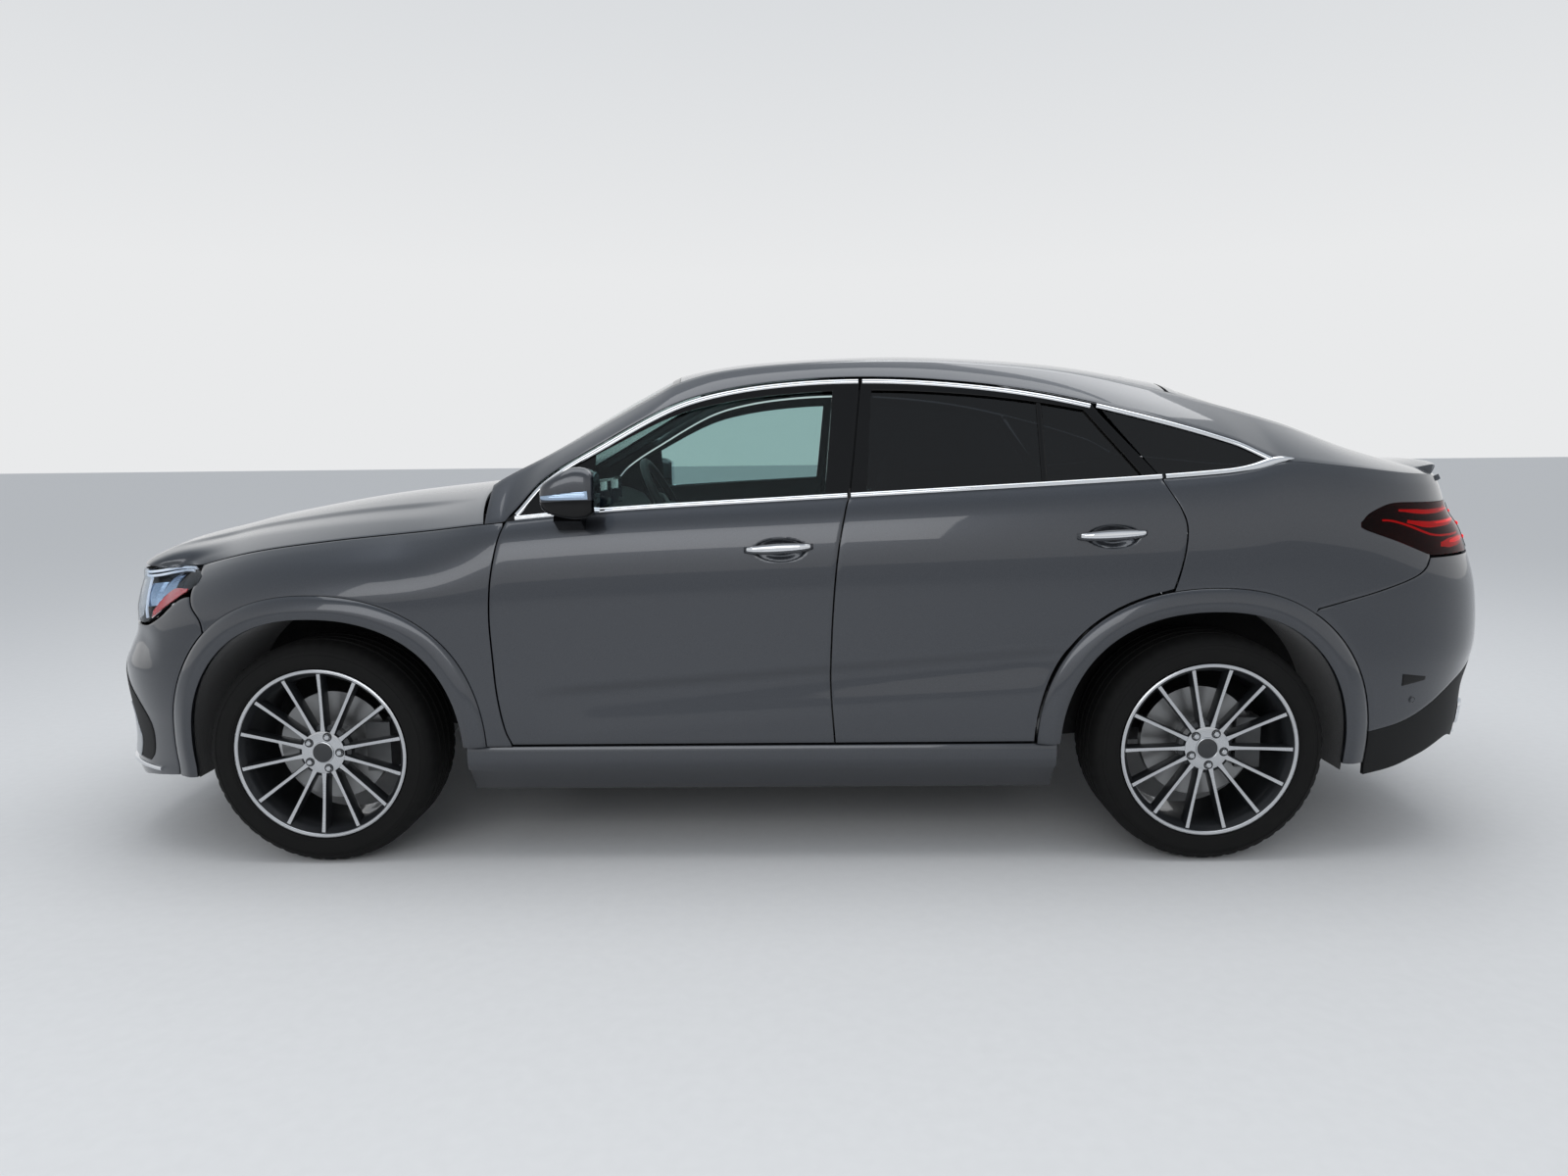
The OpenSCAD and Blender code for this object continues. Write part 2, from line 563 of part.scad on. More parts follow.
function quarter_z(x, k) =
    let (
        lo = quarter_floor(x), low = max(lo + 6, height_line(lamp_low_line, x)),
        hi = max(low + 30, height_line(lamp_high_line, x)), top = shoulder(x) - seat_gap
    )
    k == 0 ? lo : k == 1 ? lerp(lo, low, 0.5) : k == 2 ? low : k == 3 ? hi
    : k == 4 ? lerp(hi, top, 0.45) : k == 5 ? lerp(hi, top, 0.8) : top;
function quarter_x(c, z) =
    c == 0 ? max(rear_edge_x(z), edge_line(door_rear_edge, z)) + panel_gap / 2 + 8
    : c == quarter_last ? tail_place(tailgate_half + panel_gap, z)
    : from_drawn(quarter_columns[c]);
// Round the tail corner a point is set in forwards, elsewhere square to the side
function corner_side(c, x, z, inset, flat = false) =
    let (w = c == quarter_last ? 1 : c == quarter_last - 1 ? 0.5 : 0,
        p = flat ? left_skin(x, z, inset) : left_side(x, z, inset))
    lerp(p, left_skin(x, z) - [inset, 0, 0], w);
function quarter_point(c, k, inset) =
    let (z0 = quarter_z(from_drawn(quarter_columns[max(c, 1)]), k), x = quarter_x(c, z0))
    corner_side(c, x, quarter_z(x, k), inset, k == 2 || k == 3 || k == 6);
module quarter_panels() {
    keep = [for (k = [0:5]) [for (c = [0:quarter_last - 1])
        k == 2 ? quarter_columns[c] < 1880 : k < 2 ? quarter_columns[c] < 2060 : true]];
    color(paint) both_sides() sheet(
        [for (k = [0:6]) [for (c = [0:quarter_last]) quarter_point(c, k, 0)]],
        [for (k = [0:6]) [for (c = [0:quarter_last]) quarter_point(c, k, panel_thickness)]],
        keep
    );
}
module tail_lamps() {
    first = 9;
    function lamp(c, t, inset) =
        let (
            low = quarter_point(c, 2, 0), high_side = quarter_point(c, 3, 0),
            x = lerp(low[0], high_side[0], t) + (c == first ? seat_gap : 0),
            z = lerp(low[2] + seat_gap, high_side[2] - seat_gap, t)
        ) corner_side(c, x, z, inset, true);
    color("#6d1216") both_sides() sheet(
        [for (t = [0, 0.5, 1]) [for (c = [first:quarter_last]) lamp(c, t, -2)]],
        [for (t = [0, 0.5, 1]) [for (c = [first:quarter_last]) lamp(c, t, 40)]]
    );
}
module quarter_glass() {
    function pane(t, s, inset) =
        let (
            z0 = lerp(shoulder_rear, lift(1470), s),
            x0 = lerp(edge_line(window_divider_edge, z0) + panel_gap, from_drawn(1535), t),
            z1 = lerp(shoulder(x0) + 8, window_top(x0) - 8, s),
            x = lerp(edge_line(window_divider_edge, z1) + panel_gap, from_drawn(1535), t)
        ) left_skin(x, lerp(shoulder(x) + 2, window_top(x) - 3, s), inset);
    color(glass) both_sides() sheet(
        [for (s = [0, 0.5, 1]) [for (t = steps(5)) pane(t, s, 6)]],
        [for (s = [0, 0.5, 1]) [for (t = steps(5)) pane(t, s, 6 + glass_thickness)]]
    );
}

// Roof, windshield, bonnet
roof_front_x = from_drawn(-372);
roof_rear_x = from_drawn(1297);
function roof_bow(x) = 45 * (x - roof_front_x) / (roof_rear_x - roof_front_x);
function roof_point(x, v, drop = 0) =
    let (w = roof_edge_y(x) - seat_gap - 0.6,
        xc = x + roof_bow(x) * (1 - v * v) - 34 * (1 - v * v) * (1 - roof_bow(x) / 45))
    [xc, v * w, lerp(height_line(roof_crown_line, xc), roof_edge(x), pow(abs(v), 2.2)) - drop];
roof_vs = [-1, -0.9, -0.72, -0.5, -0.25, 0, 0.25, 0.5, 0.72, 0.9, 1];
roof_rows = [-372, -320, -240, 0, 330, 640, 956, 1180, 1297];
module roof() {
    xs = [for (x = roof_rows) from_drawn(x)];
    keep = [for (j = [0:len(xs) - 2]) [for (i = [0:len(roof_vs) - 2]) j < 2 || j > 6 || i < 2 || i > 7]];
    rest = tailgate_upper(tailgate_rows[1], 0.5, 1);
    color(paint) union() {
        sheet(
            [for (x = xs) [for (v = roof_vs) roof_point(x, v)]],
            [for (x = xs) [for (v = roof_vs) roof_point(x, v, 28)]],
            keep
        );
        // Hinge arms under the tailgate's front edge
        for (s = [-1, 1]) {
            block(roof_rear_x - 30, rest[0], s * rest[1] - 8, s * rest[1] + 8, rest[2] - 26,
                rest[2] - seat_gap - 1);
            block(roof_rear_x - 30, roof_rear_x, s * rest[1] - 8, s * rest[1] + 8, rest[2] - 26,
                rest[2] + 44);
        }
    }
}
module roof_glass() {
    e = 0.0008;
    xs = [for (x = [-240 + 1, 0, 330, 640, 956, 1180 - 1]) from_drawn(x)];
    vs = [-0.72 + e, -0.5, -0.25, 0, 0.25, 0.5, 0.72 - e];
    color(glass) sheet(
        [for (x = xs) [for (v = vs) roof_point(x, v, 1)]],
        [for (x = xs) [for (v = vs) roof_point(x, v, 7)]]
    );
}
// Windshield: rows run from the base to the header
windshield_rows = [-978, -880, -800, -700, -600, -500, -408, -373];
function windshield_point(d, v, drop = 0) =
    let (
        xe = from_drawn(d), t = (d + 978) / 605, w = roof_edge_y(xe) - 1.7,
        x = xe - lerp(90, 34, t) * (1 - v * v), ze = roof_edge(xe),
        zc = lerp(lift(1232), height_line(roof_crown_line, roof_front_x - 34), t) + 26 * sin(180 * t)
    ) [x + (d < -400 ? drop * 0.5 : 0), v * w, lerp(zc, ze, pow(abs(v), 2.2)) - drop];
module windshield() {
    color(glass) sheet(
        [for (d = windshield_rows) [for (v = roof_vs) windshield_point(d, v)]],
        [for (d = windshield_rows) [for (v = roof_vs) windshield_point(d, v, glass_thickness)]]
    );
}
// Bonnet: u runs from the nose to the cowl, v across from side to side
hood_angle = front_angle(from_drawn(-2052), 994);
hood_rear_x = from_drawn(-1000);
function hood_front(v) = front_skin(v * hood_angle, 997, panel_gap / 2);
function hood_rear(v) = hood_rear_x - 130 * (1 - v * v);
function hood_point(u, v) =
    let (
        f = hood_front(v), x = lerp(f[0], hood_rear(v), u),
        xe = lerp(hood_front(1)[0], hood_rear_x, u), xm = lerp(hood_front(0)[0], hood_rear(0), u),
        edge = side_y(xe, shoulder(xe)) - panel_gap,
        y = lerp(f[1], v * edge, ease(u * 5)),
        z = lerp(height_line(hood_crown_line, xm), max(shoulder(xe), 997), pow(abs(v), 2.3))
    ) [x, y, z];
hood_us = [0, 0.04, 0.09, 0.16, 0.28, 0.42, 0.56, 0.7, 0.85, 1];
hood_vs = [-1, -0.94, -0.8, -0.6, -0.4, -0.2, 0, 0.2, 0.4, 0.6, 0.8, 0.94, 1];
module hood() {
    function under(u, v) =
        hood_point(u, v) + [u == 0 ? 22 : u == 1 ? -10 : 0, abs(v) == 1 ? -18 * v : 0,
            u == 0 ? -6 : -panel_thickness];
    color(paint) sheet(
        [for (u = hood_us) [for (v = hood_vs) hood_point(u, v)]],
        [for (u = hood_us) [for (v = hood_vs) under(u, v)]]
    );
}

// Tailgate: its upper rows are [along, up, half width, side setback, side drop, inner along, inner up]
tailgate_rows = [
    [1352, 1611, 606, 40, 62, 14, -36], [1397, 1598, 604, 42, 62, -2, -38],
    [1560, 1541, 595, 42, 54, -12, -38],
    [1760, 1468, 584, 42, 48, -12, -38], [1950, 1398, 572, 40, 46, -12, -38],
    [2110, 1343, 562, 40, 38, -12, -38],
    [2215, 1321, 562, 50, 40, -12, -40], [2300, 1309, 566, 72, 42, -30, -38],
    [2386, 1298, 645, 94, 34, -78, -26],
    [2372, 1279, 650, 90, 32, -72, -20]
];
tailgate_face = [1252, 1205, 1150, 1080, 1010, 920, 842];
tailgate_vs = [-1, -0.93, -0.75, -0.5, -0.25, 0, 0.25, 0.5, 0.75, 0.93, 1];
tailgate_depth = 50;
function tailgate_upper(r, v, k) =
    [
        from_drawn(r[0] - r[3] * pow(abs(v), 2.4)) + k * r[5] * (r[0] > 2250 ? 1 - 0.85 * pow(v, 4) : 1),
        v * r[2] * wide,
        lift(r[1] - r[4] * pow(abs(v), 2.2)) + k * r[6]
    ];
function tailgate_lower(h, v, k) =
    let (z = lift(h - (h > 1240 ? 24 * v * v : 0)),
        y = v * lerp(tailgate_half, 655 * wide, ease((h - 1180) / 70)))
    let (depth = k * tailgate_depth * (h > 1100 ? 1 - 0.6 * pow(v, 4) : 1))
    [rear_skin(tail_angle(abs(y), z), z)[0] - depth, y, z];
function tailgate_grid(k) = concat(
    [for (r = tailgate_rows) [for (v = tailgate_vs) tailgate_upper(r, v, k)]],
    [for (h = tailgate_face) [for (v = tailgate_vs) tailgate_lower(h, v, k)]]
);
module tailgate() {
    last = len(tailgate_rows) + len(tailgate_face) - 2;
    keep = [for (j = [0:last]) [for (i = [0:len(tailgate_vs) - 2]) j < 1 || j > 4 || i < 1 || i > 8]];
    color(paint) sheet(tailgate_grid(0), tailgate_grid(1), keep);
}
module rear_window() {
    vs = [-0.929, -0.75, -0.5, -0.25, 0, 0.25, 0.5, 0.75, 0.929];
    e = [1, 0, 0, 0, -1];
    function pane(j, v, d) =
        tailgate_upper(tailgate_rows[j + 1], v, 0) + [e[j] * 2.4 - d * 0.34, 0, -d - e[j] * 0.8];
    color(glass) sheet(
        [for (j = [0:4]) [for (v = vs) pane(j, v, 3)]],
        [for (j = [0:4]) [for (v = vs) pane(j, v, 3 + glass_thickness)]]
    );
}

// Bumpers, grille and lamps at the front
lamp_low = [[0, 800], [24, 800], [36, 806], [45, 812], [47.5, 820], [54, 869], [60, 919], [63, 948]];
lamp_high = [[0, 972], [24, 974], [36, 978], [43.7, 982], [49, 988], [57.7, 988], [61.4, 972], [63, 956]];
headlamp_inner_angle = 24;
module headlamps() {
    as = [headlamp_inner_angle, 31, 38, 45, 50, 55, 59, 62.2];
    // The back face is set in rearwards at the grille and inwards at the tip
    function lamp(a, t, inset) =
        let (k = ease((62.2 - a) / 25), z = lerp(curve(lamp_low, a) + 3, curve(lamp_high, a) - 6, t))
        front_skin(-a, z) + inset * [k, sqrt(1 - k * k), t == 1 ? -0.3 : 0];
    color(glass) both_sides() union() {
        sheet(
            [for (t = [0, 0.5, 1]) [for (a = as) lamp(a, t, 0)]],
            [for (t = [0, 0.5, 1]) [for (a = as) lamp(a, t, 60)]]
        );
        block(carrier_x - 90, carrier_x + 20, -700 * wide, -carrier_half - seat_gap, 850, 920);
    }
}
bumper_low = 232;
function bumper_end_x(z) =
    let (low = fender_inner(0)[1], r = (z - low) / (fender_outer(0)[1] - low))
    (r > 0 ? fender_point(0, r)[0] : arch_side(front_axle, -1, false, z, flare_width)) - panel_gap - 4;
bumper_top = [[0, 792], [0.36, 792], [0.68, 800], [0.76, 820], [0.86, 862], [0.95, 898], [1, 908]];
bumper_fs = [0, 0.12, 0.24, 0.36, 0.44, 0.52, 0.6, 0.68, 0.76, 0.86, 0.94, 1];
function bumper_point(f, t, inset = 0) =
    let (
        z = lerp(bumper_low, curve(bumper_top, abs(f)) - panel_gap / 2, t),
        a = f * front_angle(bumper_end_x(z), z, inset)
    ) front_skin(a, z, inset);
module front_bumper() {
    fs = concat([for (i = [len(bumper_fs) - 1:-1:1]) -bumper_fs[i]], bumper_fs);
    ts = [0, 0.08, 0.2, 0.34, 0.5, 0.6, 0.72, 0.8, 0.87, 0.93, 1];
    // The middle above the lower mouth is left to the grille
    keep = [for (j = [0:len(ts) - 2]) [for (i = [0:len(fs) - 2])
        let (m = abs(fs[i] + fs[i + 1]) / 2) !(j >= 6 && m < 0.36) && !(j >= 2 && j <= 3 && m < 0.4)]];
    color(paint) sheet(
        [for (t = ts) [for (f = fs) bumper_point(f, t)]],
        [for (t = ts) [for (f = fs) bumper_point(f, t, panel_thickness)]],
        keep
    );
}
module grille() {
    as = [for (i = [-9:9]) i * 2.45];
    foot = lerp(bumper_low, 788, 0.72) + seat_gap;
    edges = [668, 702, 718, 752, 768, 802, 818, 852, 868, 902, 918, 946, 966];
    zs = concat([foot], [for (z = edges) lift(z)]);
    keep = [for (j = [0:len(zs) - 2]) [for (i = [0:len(as) - 2])
        j % 2 == 0 || i < 1 || i > len(as) - 3 || i % 3 == 1]];
    color(black) sheet(
        [for (z = zs) [for (a = as) front_skin(a, z, -4)]],
        [for (z = zs) [for (a = as) front_skin(a, z, 16)]],
        keep
    );
}

// Rear bumper and valance; f runs from the middle (0) past the tailgate's edge (0.6) to the wheel opening (1)
function rear_end_x(z) =
    z > 838 ? max(edge_line(bumper_side_edge, z), arch_side(rear_axle, 1, false, z, flare_width)) + panel_gap
    : arch_side(rear_axle, 1, false, z, flare_width) + panel_gap;
rear_fs = [0, 0.12, 0.24, 0.36, 0.48, 0.6, 0.66, 0.72, 0.78, 0.84, 0.9, 0.95, 1];
function rear_row_angle(f, z, inset) =
    let (edge = tail_angle(tailgate_half + panel_gap, z, inset))
    f <= 0.6 ? edge * f / 0.6 : lerp(edge, rear_angle(rear_end_x(z), z, inset), (f - 0.6) / 0.4);
function rear_point(f, z, inset) = rear_skin(wrap_sign(f) * rear_row_angle(abs(f), z, inset), z, inset);
valance_top = [[0, 640], [0.6, 636], [0.72, 590], [0.84, 510], [0.92, 462], [1, 433]];
valance_foot = [[0, 330], [0.6, 352], [0.72, 378], [0.84, 336], [0.92, 304], [1, 284]];
rear_all_fs = concat([for (i = [len(rear_fs) - 1:-1:1]) -rear_fs[i]], rear_fs);
bumper_ledge = 832;
module rear_bumper() {
    ts = [0, 0.25, 0.5, 0.65, 0.78, 0.9, 1, 846, 873, 898, 938, 966, 992];
    function height(f, t) =
        let (foot = curve(valance_top, abs(f)) + 3 * seat_gap) t <= 1 ? lerp(foot, bumper_ledge, t) : t;
    keep = [for (j = [0:len(ts) - 2]) [for (i = [0:len(rear_all_fs) - 2])
        ts[j] < 1 || abs(rear_all_fs[i] + rear_all_fs[i + 1]) > 1.2]];
    color(paint) sheet(
        [for (t = ts) [for (f = rear_all_fs) rear_point(f, height(f, t), 0)]],
        [for (t = ts) [for (f = rear_all_fs) rear_point(f, height(f, t), panel_thickness)]],
        keep
    );
}
module rear_valance() {
    function height(f, t) = lerp(curve(valance_foot, abs(f)), curve(valance_top, abs(f)), t);
    color(black) sheet(
        [for (t = [0, 0.35, 0.7, 1]) [for (f = rear_all_fs) rear_point(f, height(f, t), 0)]],
        [for (t = [0, 0.35, 0.7, 1]) [for (f = rear_all_fs) rear_point(f, height(f, t), panel_thickness)]]
    );
}

// Floor, bulkhead and the masses under the skin
bulkhead_x = from_drawn(-985);
kick_x = from_drawn(760);
cargo_z = 560;
cargo_end = from_drawn(2270);
cargo_half = 640 * wide;
module block(x0, x1, y0, y1, z0, z1) {
    translate([x0, y0, z0]) cube([x1 - x0, y1 - y0, z1 - z0]);
}
tunnel_half = 118;
tunnel_height = 190;
module floor() {
    w = sill_inner - seat_gap;
    pad = 60;
    beam_end = tail - panel_thickness - 2 * seat_gap;
    color(black) union() {
        block(bulkhead_x, kick_x, -w, w, floor_height, floor_height + floor_thickness);
        block(bulkhead_x, kick_x, -tunnel_half, tunnel_half, floor_height + 1, floor_height + tunnel_height);
        block(kick_x - floor_thickness, kick_x, -w, w, floor_height, cargo_z + floor_thickness);
        block(kick_x - floor_thickness, cargo_end, -cargo_half, cargo_half, cargo_z,
            cargo_z + floor_thickness);
        block(cargo_end - floor_thickness, cargo_end, -cargo_half, cargo_half, cargo_z, 740);
        block(cargo_end - floor_thickness, beam_end, -40, 40, 690, 735);
        for (x = [sill_front + 150, sill_rear - 150], s = [-1, 1])
            translate([x - pad / 2, s * (w - pad) - pad / 2, floor_height - 12]) cube([pad, pad, 20]);
    }
}
// Bulkhead with the door posts and the pads under the bonnet's rear corners
module firewall() {
    w = sill_inner - seat_gap;
    front = bulkhead_x - floor_thickness - seat_gap;
    post = half_width - door_thickness - 20;
    hood_rest = hood_point(1, 0.8);
    hood_rest_drop = 6;
    color(black) union() {
        block(front, bulkhead_x - seat_gap, -w, w, floor_height, 1090);
        both_sides() {
            block(front, front_hinge_x + hinge_set + 20, -post, -w - seat_gap, sill_top + seat_gap, 900);
            block(front, bulkhead_x - seat_gap, -post, -w + 20, sill_top + seat_gap, 900);
            hinge_pad(front_hinge_x, 80);
            block(hood_rest[0] - 20, bulkhead_x - seat_gap, -hood_rest[1] - 10, -hood_rest[1] + 10,
                1060, hood_rest[2] - panel_thickness - hood_rest_drop);
        }
    }
}
// Front rails with the carrier of the bumper, grille and lamps
carrier_x = from_drawn(-2240);
carrier_half = 560 * wide;
rail_outer = 470;
rail_low = 480;
module front_frame() {
    bumper_seat = nose_x(565) + panel_thickness + seat_gap + 1;
    grille_seat = nose_x(918) + 16 + seat_gap;
    color(black) union() {
        for (s = [-1, 1])
            block(carrier_x, bulkhead_x - floor_thickness - 2 * seat_gap, s * rail_outer - (s > 0 ? 70 : 0),
                s * rail_outer + (s > 0 ? 0 : 70), rail_low, rail_low + 80);
        block(carrier_x, carrier_x + 40, -carrier_half, carrier_half, 400, 450);
        block(carrier_x, carrier_x + 40, -carrier_half, carrier_half, 860, 920);
        for (y = [-carrier_half, -25, carrier_half - 50])
            block(carrier_x, carrier_x + 40, y, y + 50, 400, 910);
        block(carrier_x + 5, carrier_x + 35, -carrier_half + 40, carrier_half - 40, 440, 870);
        block(bumper_seat, carrier_x + 20, -40, 40, 570, 600);
        block(grille_seat, carrier_x + 20, -20, 20, 903, 917);
    }
}
liner_gap = 46;
module liner(axle, y0, y1) {
    translate([axle, 0, tyre_radius]) rotate([90, 0, 0]) translate([0, 0, y0])
        rotate_extrude(angle = 180) polygon([
        [tyre_radius + liner_gap, 0], [tyre_radius + liner_gap + 4, 0],
        [tyre_radius + liner_gap + 4, y1 - y0], [tyre_radius + liner_gap, y1 - y0]
    ]);
}
module wheel_liners() {
    color(black) both_sides() {
        liner(front_axle, rail_outer + seat_gap, half_width - 55);
        liner(rear_axle, cargo_half + seat_gap, half_width - 55);
    }
}
module engine() {
    color(steel) union() {
        block(from_drawn(-1930), from_drawn(-1130), -230, 230, 420, 930);
        block(from_drawn(-1880), from_drawn(-1180), -130, 130, 920, 990);
        block(front_axle - 180, front_axle + 180, -150, 150, floor_height + 70 + seat_gap, 430);
    }
}
// Suspension: cross members, arms and the pins that carry the knuckles
kingpin_y = front_half_track - 60;
pin_radius = 15;
module front_subframe() {
    color(black) union() {
        block(front_axle - 190, front_axle + 190, -400, 400, floor_height + 10, floor_height + 70);
        for (s = [-1, 1]) {
            translate([front_axle, s * kingpin_y, floor_height + 12])
                cylinder(r = pin_radius, h = tyre_radius - 78 - floor_height - 12);
            translate([0, s * (kingpin_y + 390) / 2 - (kingpin_y - 390) / 2, 0])
                block(front_axle - 24, front_axle + 24, 0, kingpin_y - 390, floor_height + 10,
                    floor_height + 34);
            block(front_axle - 240, front_axle - 180, s * 425 - 30, s * 425 + 30, floor_height + 10,
                rail_low - seat_gap);
            block(front_axle - 240, front_axle - 180, s * 370 - 60, s * 370 + 60, floor_height + 10,
                floor_height + 70);
        }
    }
}

// Left knuckle: an upright on the kingpin with the stub axle and the brake caliper
module left_knuckle() {
    face = front_tyre_width / 2 - 12;
    disc_back = -front_half_track - (face - 62 - disc_offset - 26);
    color(steel) difference() {
        union() {
            block(front_axle - 45, front_axle + 45, -kingpin_y - 30, -kingpin_y + 34, tyre_radius - 100,
                tyre_radius + 110);
            translate([front_axle, -kingpin_y + 10, tyre_radius]) rotate([90, 0, 0])
                cylinder(r = stub_radius, h = front_half_track + face - 40 - kingpin_y);
            caliper(front_axle + 140, disc_back);
            block(front_axle + 30, front_axle + 190, -kingpin_y - 20, -kingpin_y + 30, tyre_radius - 35,
                tyre_radius + 35);
        }
        translate([front_axle, -kingpin_y, tyre_radius - 120]) cylinder(r = pin_radius + running_gap, h = 50);
    }
}
// Brake caliper straddling the disc, with its back at the given place across the car
module caliper(x, disc_back) {
    difference() {
        block(x - 20, x + 62, disc_back - 62, disc_back + 30, tyre_radius - 85, tyre_radius + 85);
        block(x - 30, x + 52, disc_back - 40, disc_back + 8, tyre_radius - 100, tyre_radius + 100);
    }
}
module rear_subframe() {
    face = rear_tyre_width / 2 - 12;
    disc_back = rear_half_track + (face - 62 - disc_offset - 26);
    hub_y = rear_half_track - 60;
    color(black) union() {
        block(rear_axle - 200, rear_axle + 200, -400, 400, floor_height + 20, floor_height + 90);
        block(rear_axle - 150, rear_axle + 150, -140, 140, floor_height + 80, tyre_radius + 90);
        for (x = [-180, 120], s = [-1, 1])
            block(rear_axle + x, rear_axle + x + 60, s * 330 - 30, s * 330 + 30, floor_height + 30,
                cargo_z - seat_gap);
        both_sides() {
            block(rear_axle - 30, rear_axle + 30, -hub_y, -390, floor_height + 30, floor_height + 70);
            block(rear_axle - 45, rear_axle + 45, -hub_y - 30, -hub_y + 34, floor_height + 30,
                tyre_radius + 110);
            translate([rear_axle, -hub_y + 10, tyre_radius]) rotate([90, 0, 0])
                cylinder(r = stub_radius, h = rear_half_track + face - 40 - hub_y);
            translate([rear_axle, -130, tyre_radius]) rotate([90, 0, 0]) cylinder(r = 22, h = hub_y - 150);
            caliper(rear_axle + 140, -rear_half_track - (face - 62 - disc_offset - 26));
            block(rear_axle + 30, rear_axle + 190, -hub_y - 28, -hub_y + 30, tyre_radius - 35,
                tyre_radius + 35);
        }
    }
}
module exhaust() {
    r = 35;
    z = floor_height - r - seat_gap;
    color(steel) union() {
        translate([from_drawn(-960), 0, z]) rotate([0, 90, 0])
            cylinder(r = r, h = from_drawn(760) - from_drawn(-960));
        block(from_drawn(-100), from_drawn(400), -110, 110, z - 40, z + 30);
    }
}

// Cabin
steering_x = from_drawn(-455);
steering_y = -380;
steering_z = lift(1160);
column_tilt = 28;
module dashboard() {
    color(leather) union() {
        translate([0, sill_inner - 12, 0]) rotate([90, 0, 0]) linear_extrude(2 * sill_inner - 24) polygon([
            [bulkhead_x, 560], [bulkhead_x, lift(1185)], [bulkhead_x + 120, lift(1212)],
            [bulkhead_x + 300, lift(1170)], [bulkhead_x + 345, 1095], [bulkhead_x + 290, 960],
            [bulkhead_x + 250, 700], [bulkhead_x + 120, 560]
        ]);
        block(bulkhead_x + 130, bulkhead_x + 260, -112, 112, 580, 720);
        block(bulkhead_x + 200, from_drawn(150), -112, 112, floor_height + tunnel_height + seat_gap, 640);
        translate([steering_x, steering_y, steering_z]) rotate([0, -90 - column_tilt, 0])
            cylinder(r = 24, h = 260);
    }
}
module steering_wheel() {
    color(leather) translate([steering_x, steering_y, steering_z]) rotate([0, -90 - column_tilt, 0])
        difference() {
        union() {
            rotate_extrude() translate([steering_radius, 0]) circle(r = 16, $fn = 24);
            translate([0, 0, -45]) cylinder(r = 62, h = 50);
            for (k = [90, 180, 270]) rotate(k) translate([40, -22, -12]) cube([steering_radius - 50, 44, 16]);
        }
        translate([0, 0, -30]) cylinder(r = 24 + running_gap, h = 100);
    }
}
module seat(x, y, w) {
    translate([x, y + w / 2, 0]) rotate([90, 0, 0]) linear_extrude(w) polygon([
        [-260, floor_height + floor_thickness + 0.5], [-260, 500], [-280, 560], [-270, 620], [-200, 650],
        [150, 620], [190, 640],
        [330, 1120], [320, 1160], [340, 1190], [360, 1330], [400, 1350], [450, 1330], [440, 1180],
        [450, 1130],
        [330, 600], [250, 500], [240, floor_height + floor_thickness + 0.5]
    ]);
}
module front_seats() {
    color(leather) both_sides() seat(from_drawn(-30), -400, seat_width);
}
module rear_seat() {
    w = 1240 * wide;
    x = from_drawn(800);
    z = floor_height + tunnel_height + seat_gap;
    color(leather) translate([0, w / 2, 0]) rotate([90, 0, 0]) linear_extrude(w) polygon([
        [x - 330, z], [x - 340, 600], [x - 320, 650], [x - 40, 640], [x + 30, 650], [x + 210, 1150],
        [x + 250, 1170], [x + 290, 1150],
        [x + 160, cargo_z + floor_thickness + seat_gap], [x - 84, cargo_z + floor_thickness + seat_gap],
        [x - 84, z]
    ]);
}
module left_mirror() {
    xs = [for (x = [-740, -700, -655]) from_drawn(x)];
    zs = [for (z = [1118, 1142, 1164]) lift(z)];
    color(paint) union() {
        translate([from_drawn(-690), -1012 * wide, lift(1240)]) difference() {
            hull() {
                translate([-30, 30, 0]) sphere(r = 52, $fn = 16);
                translate([35, -2, 18]) sphere(r = 62, $fn = 16);
                translate([25, 0, -28]) sphere(r = 55, $fn = 16);
            }
            translate([78, -150, -150]) cube([100, 300, 300]);
        }
        // Foot on the door's shoulder
        sheet(
            [for (z = zs) [for (x = xs) left_skin(x, z, -70 * wide) + [0, 0, 30]]],
            [for (z = zs) [for (x = xs) left_skin(x, z, -2)]]
        );
    }
}

// Placing
module wheel_set(part, front, side) {
    w = front ? front_tyre_width : rear_tyre_width;
    at_wheel(front ? front_axle : rear_axle, front ? front_half_track : rear_half_track, side) {
        if (part == "wheel") wheel(w);
        if (part == "tyre") tyre(w);
        if (part == "disc") disc(w);
    }
}

floor();
sills();
roof_frame();
b_pillars();
quarter_panels();
roof();
roof_glass();
windshield();
firewall();
fenders();
front_bumper();
grille();
headlamps();
rear_bumper();
rear_valance();
tail_lamps();
arch_flares();
quarter_glass();
wheel_liners();
engine();
front_subframe();
rear_subframe();
exhaust();
front_frame();
dashboard();
front_seats();
rear_seat();
hood();
left_door(true);  // front_left_door
mirror([0, 1, 0]) left_door(true);  // front_right_door
left_door(false);  // rear_left_door
mirror([0, 1, 0]) left_door(false);  // rear_right_door
left_door_glass(true);  // front_left_glass
mirror([0, 1, 0]) left_door_glass(true);  // front_right_glass
left_door_glass(false);  // rear_left_glass
mirror([0, 1, 0]) left_door_glass(false);  // rear_right_glass
left_mirror();
mirror([0, 1, 0]) left_mirror();  // right_mirror
tailgate();
rear_window();
steering_wheel();
left_knuckle();
mirror([0, 1, 0]) left_knuckle();  // right_knuckle
wheel_set("wheel", true, -1);  // front_left_wheel
wheel_set("wheel", true, 1);  // front_right_wheel
wheel_set("wheel", false, -1);  // rear_left_wheel
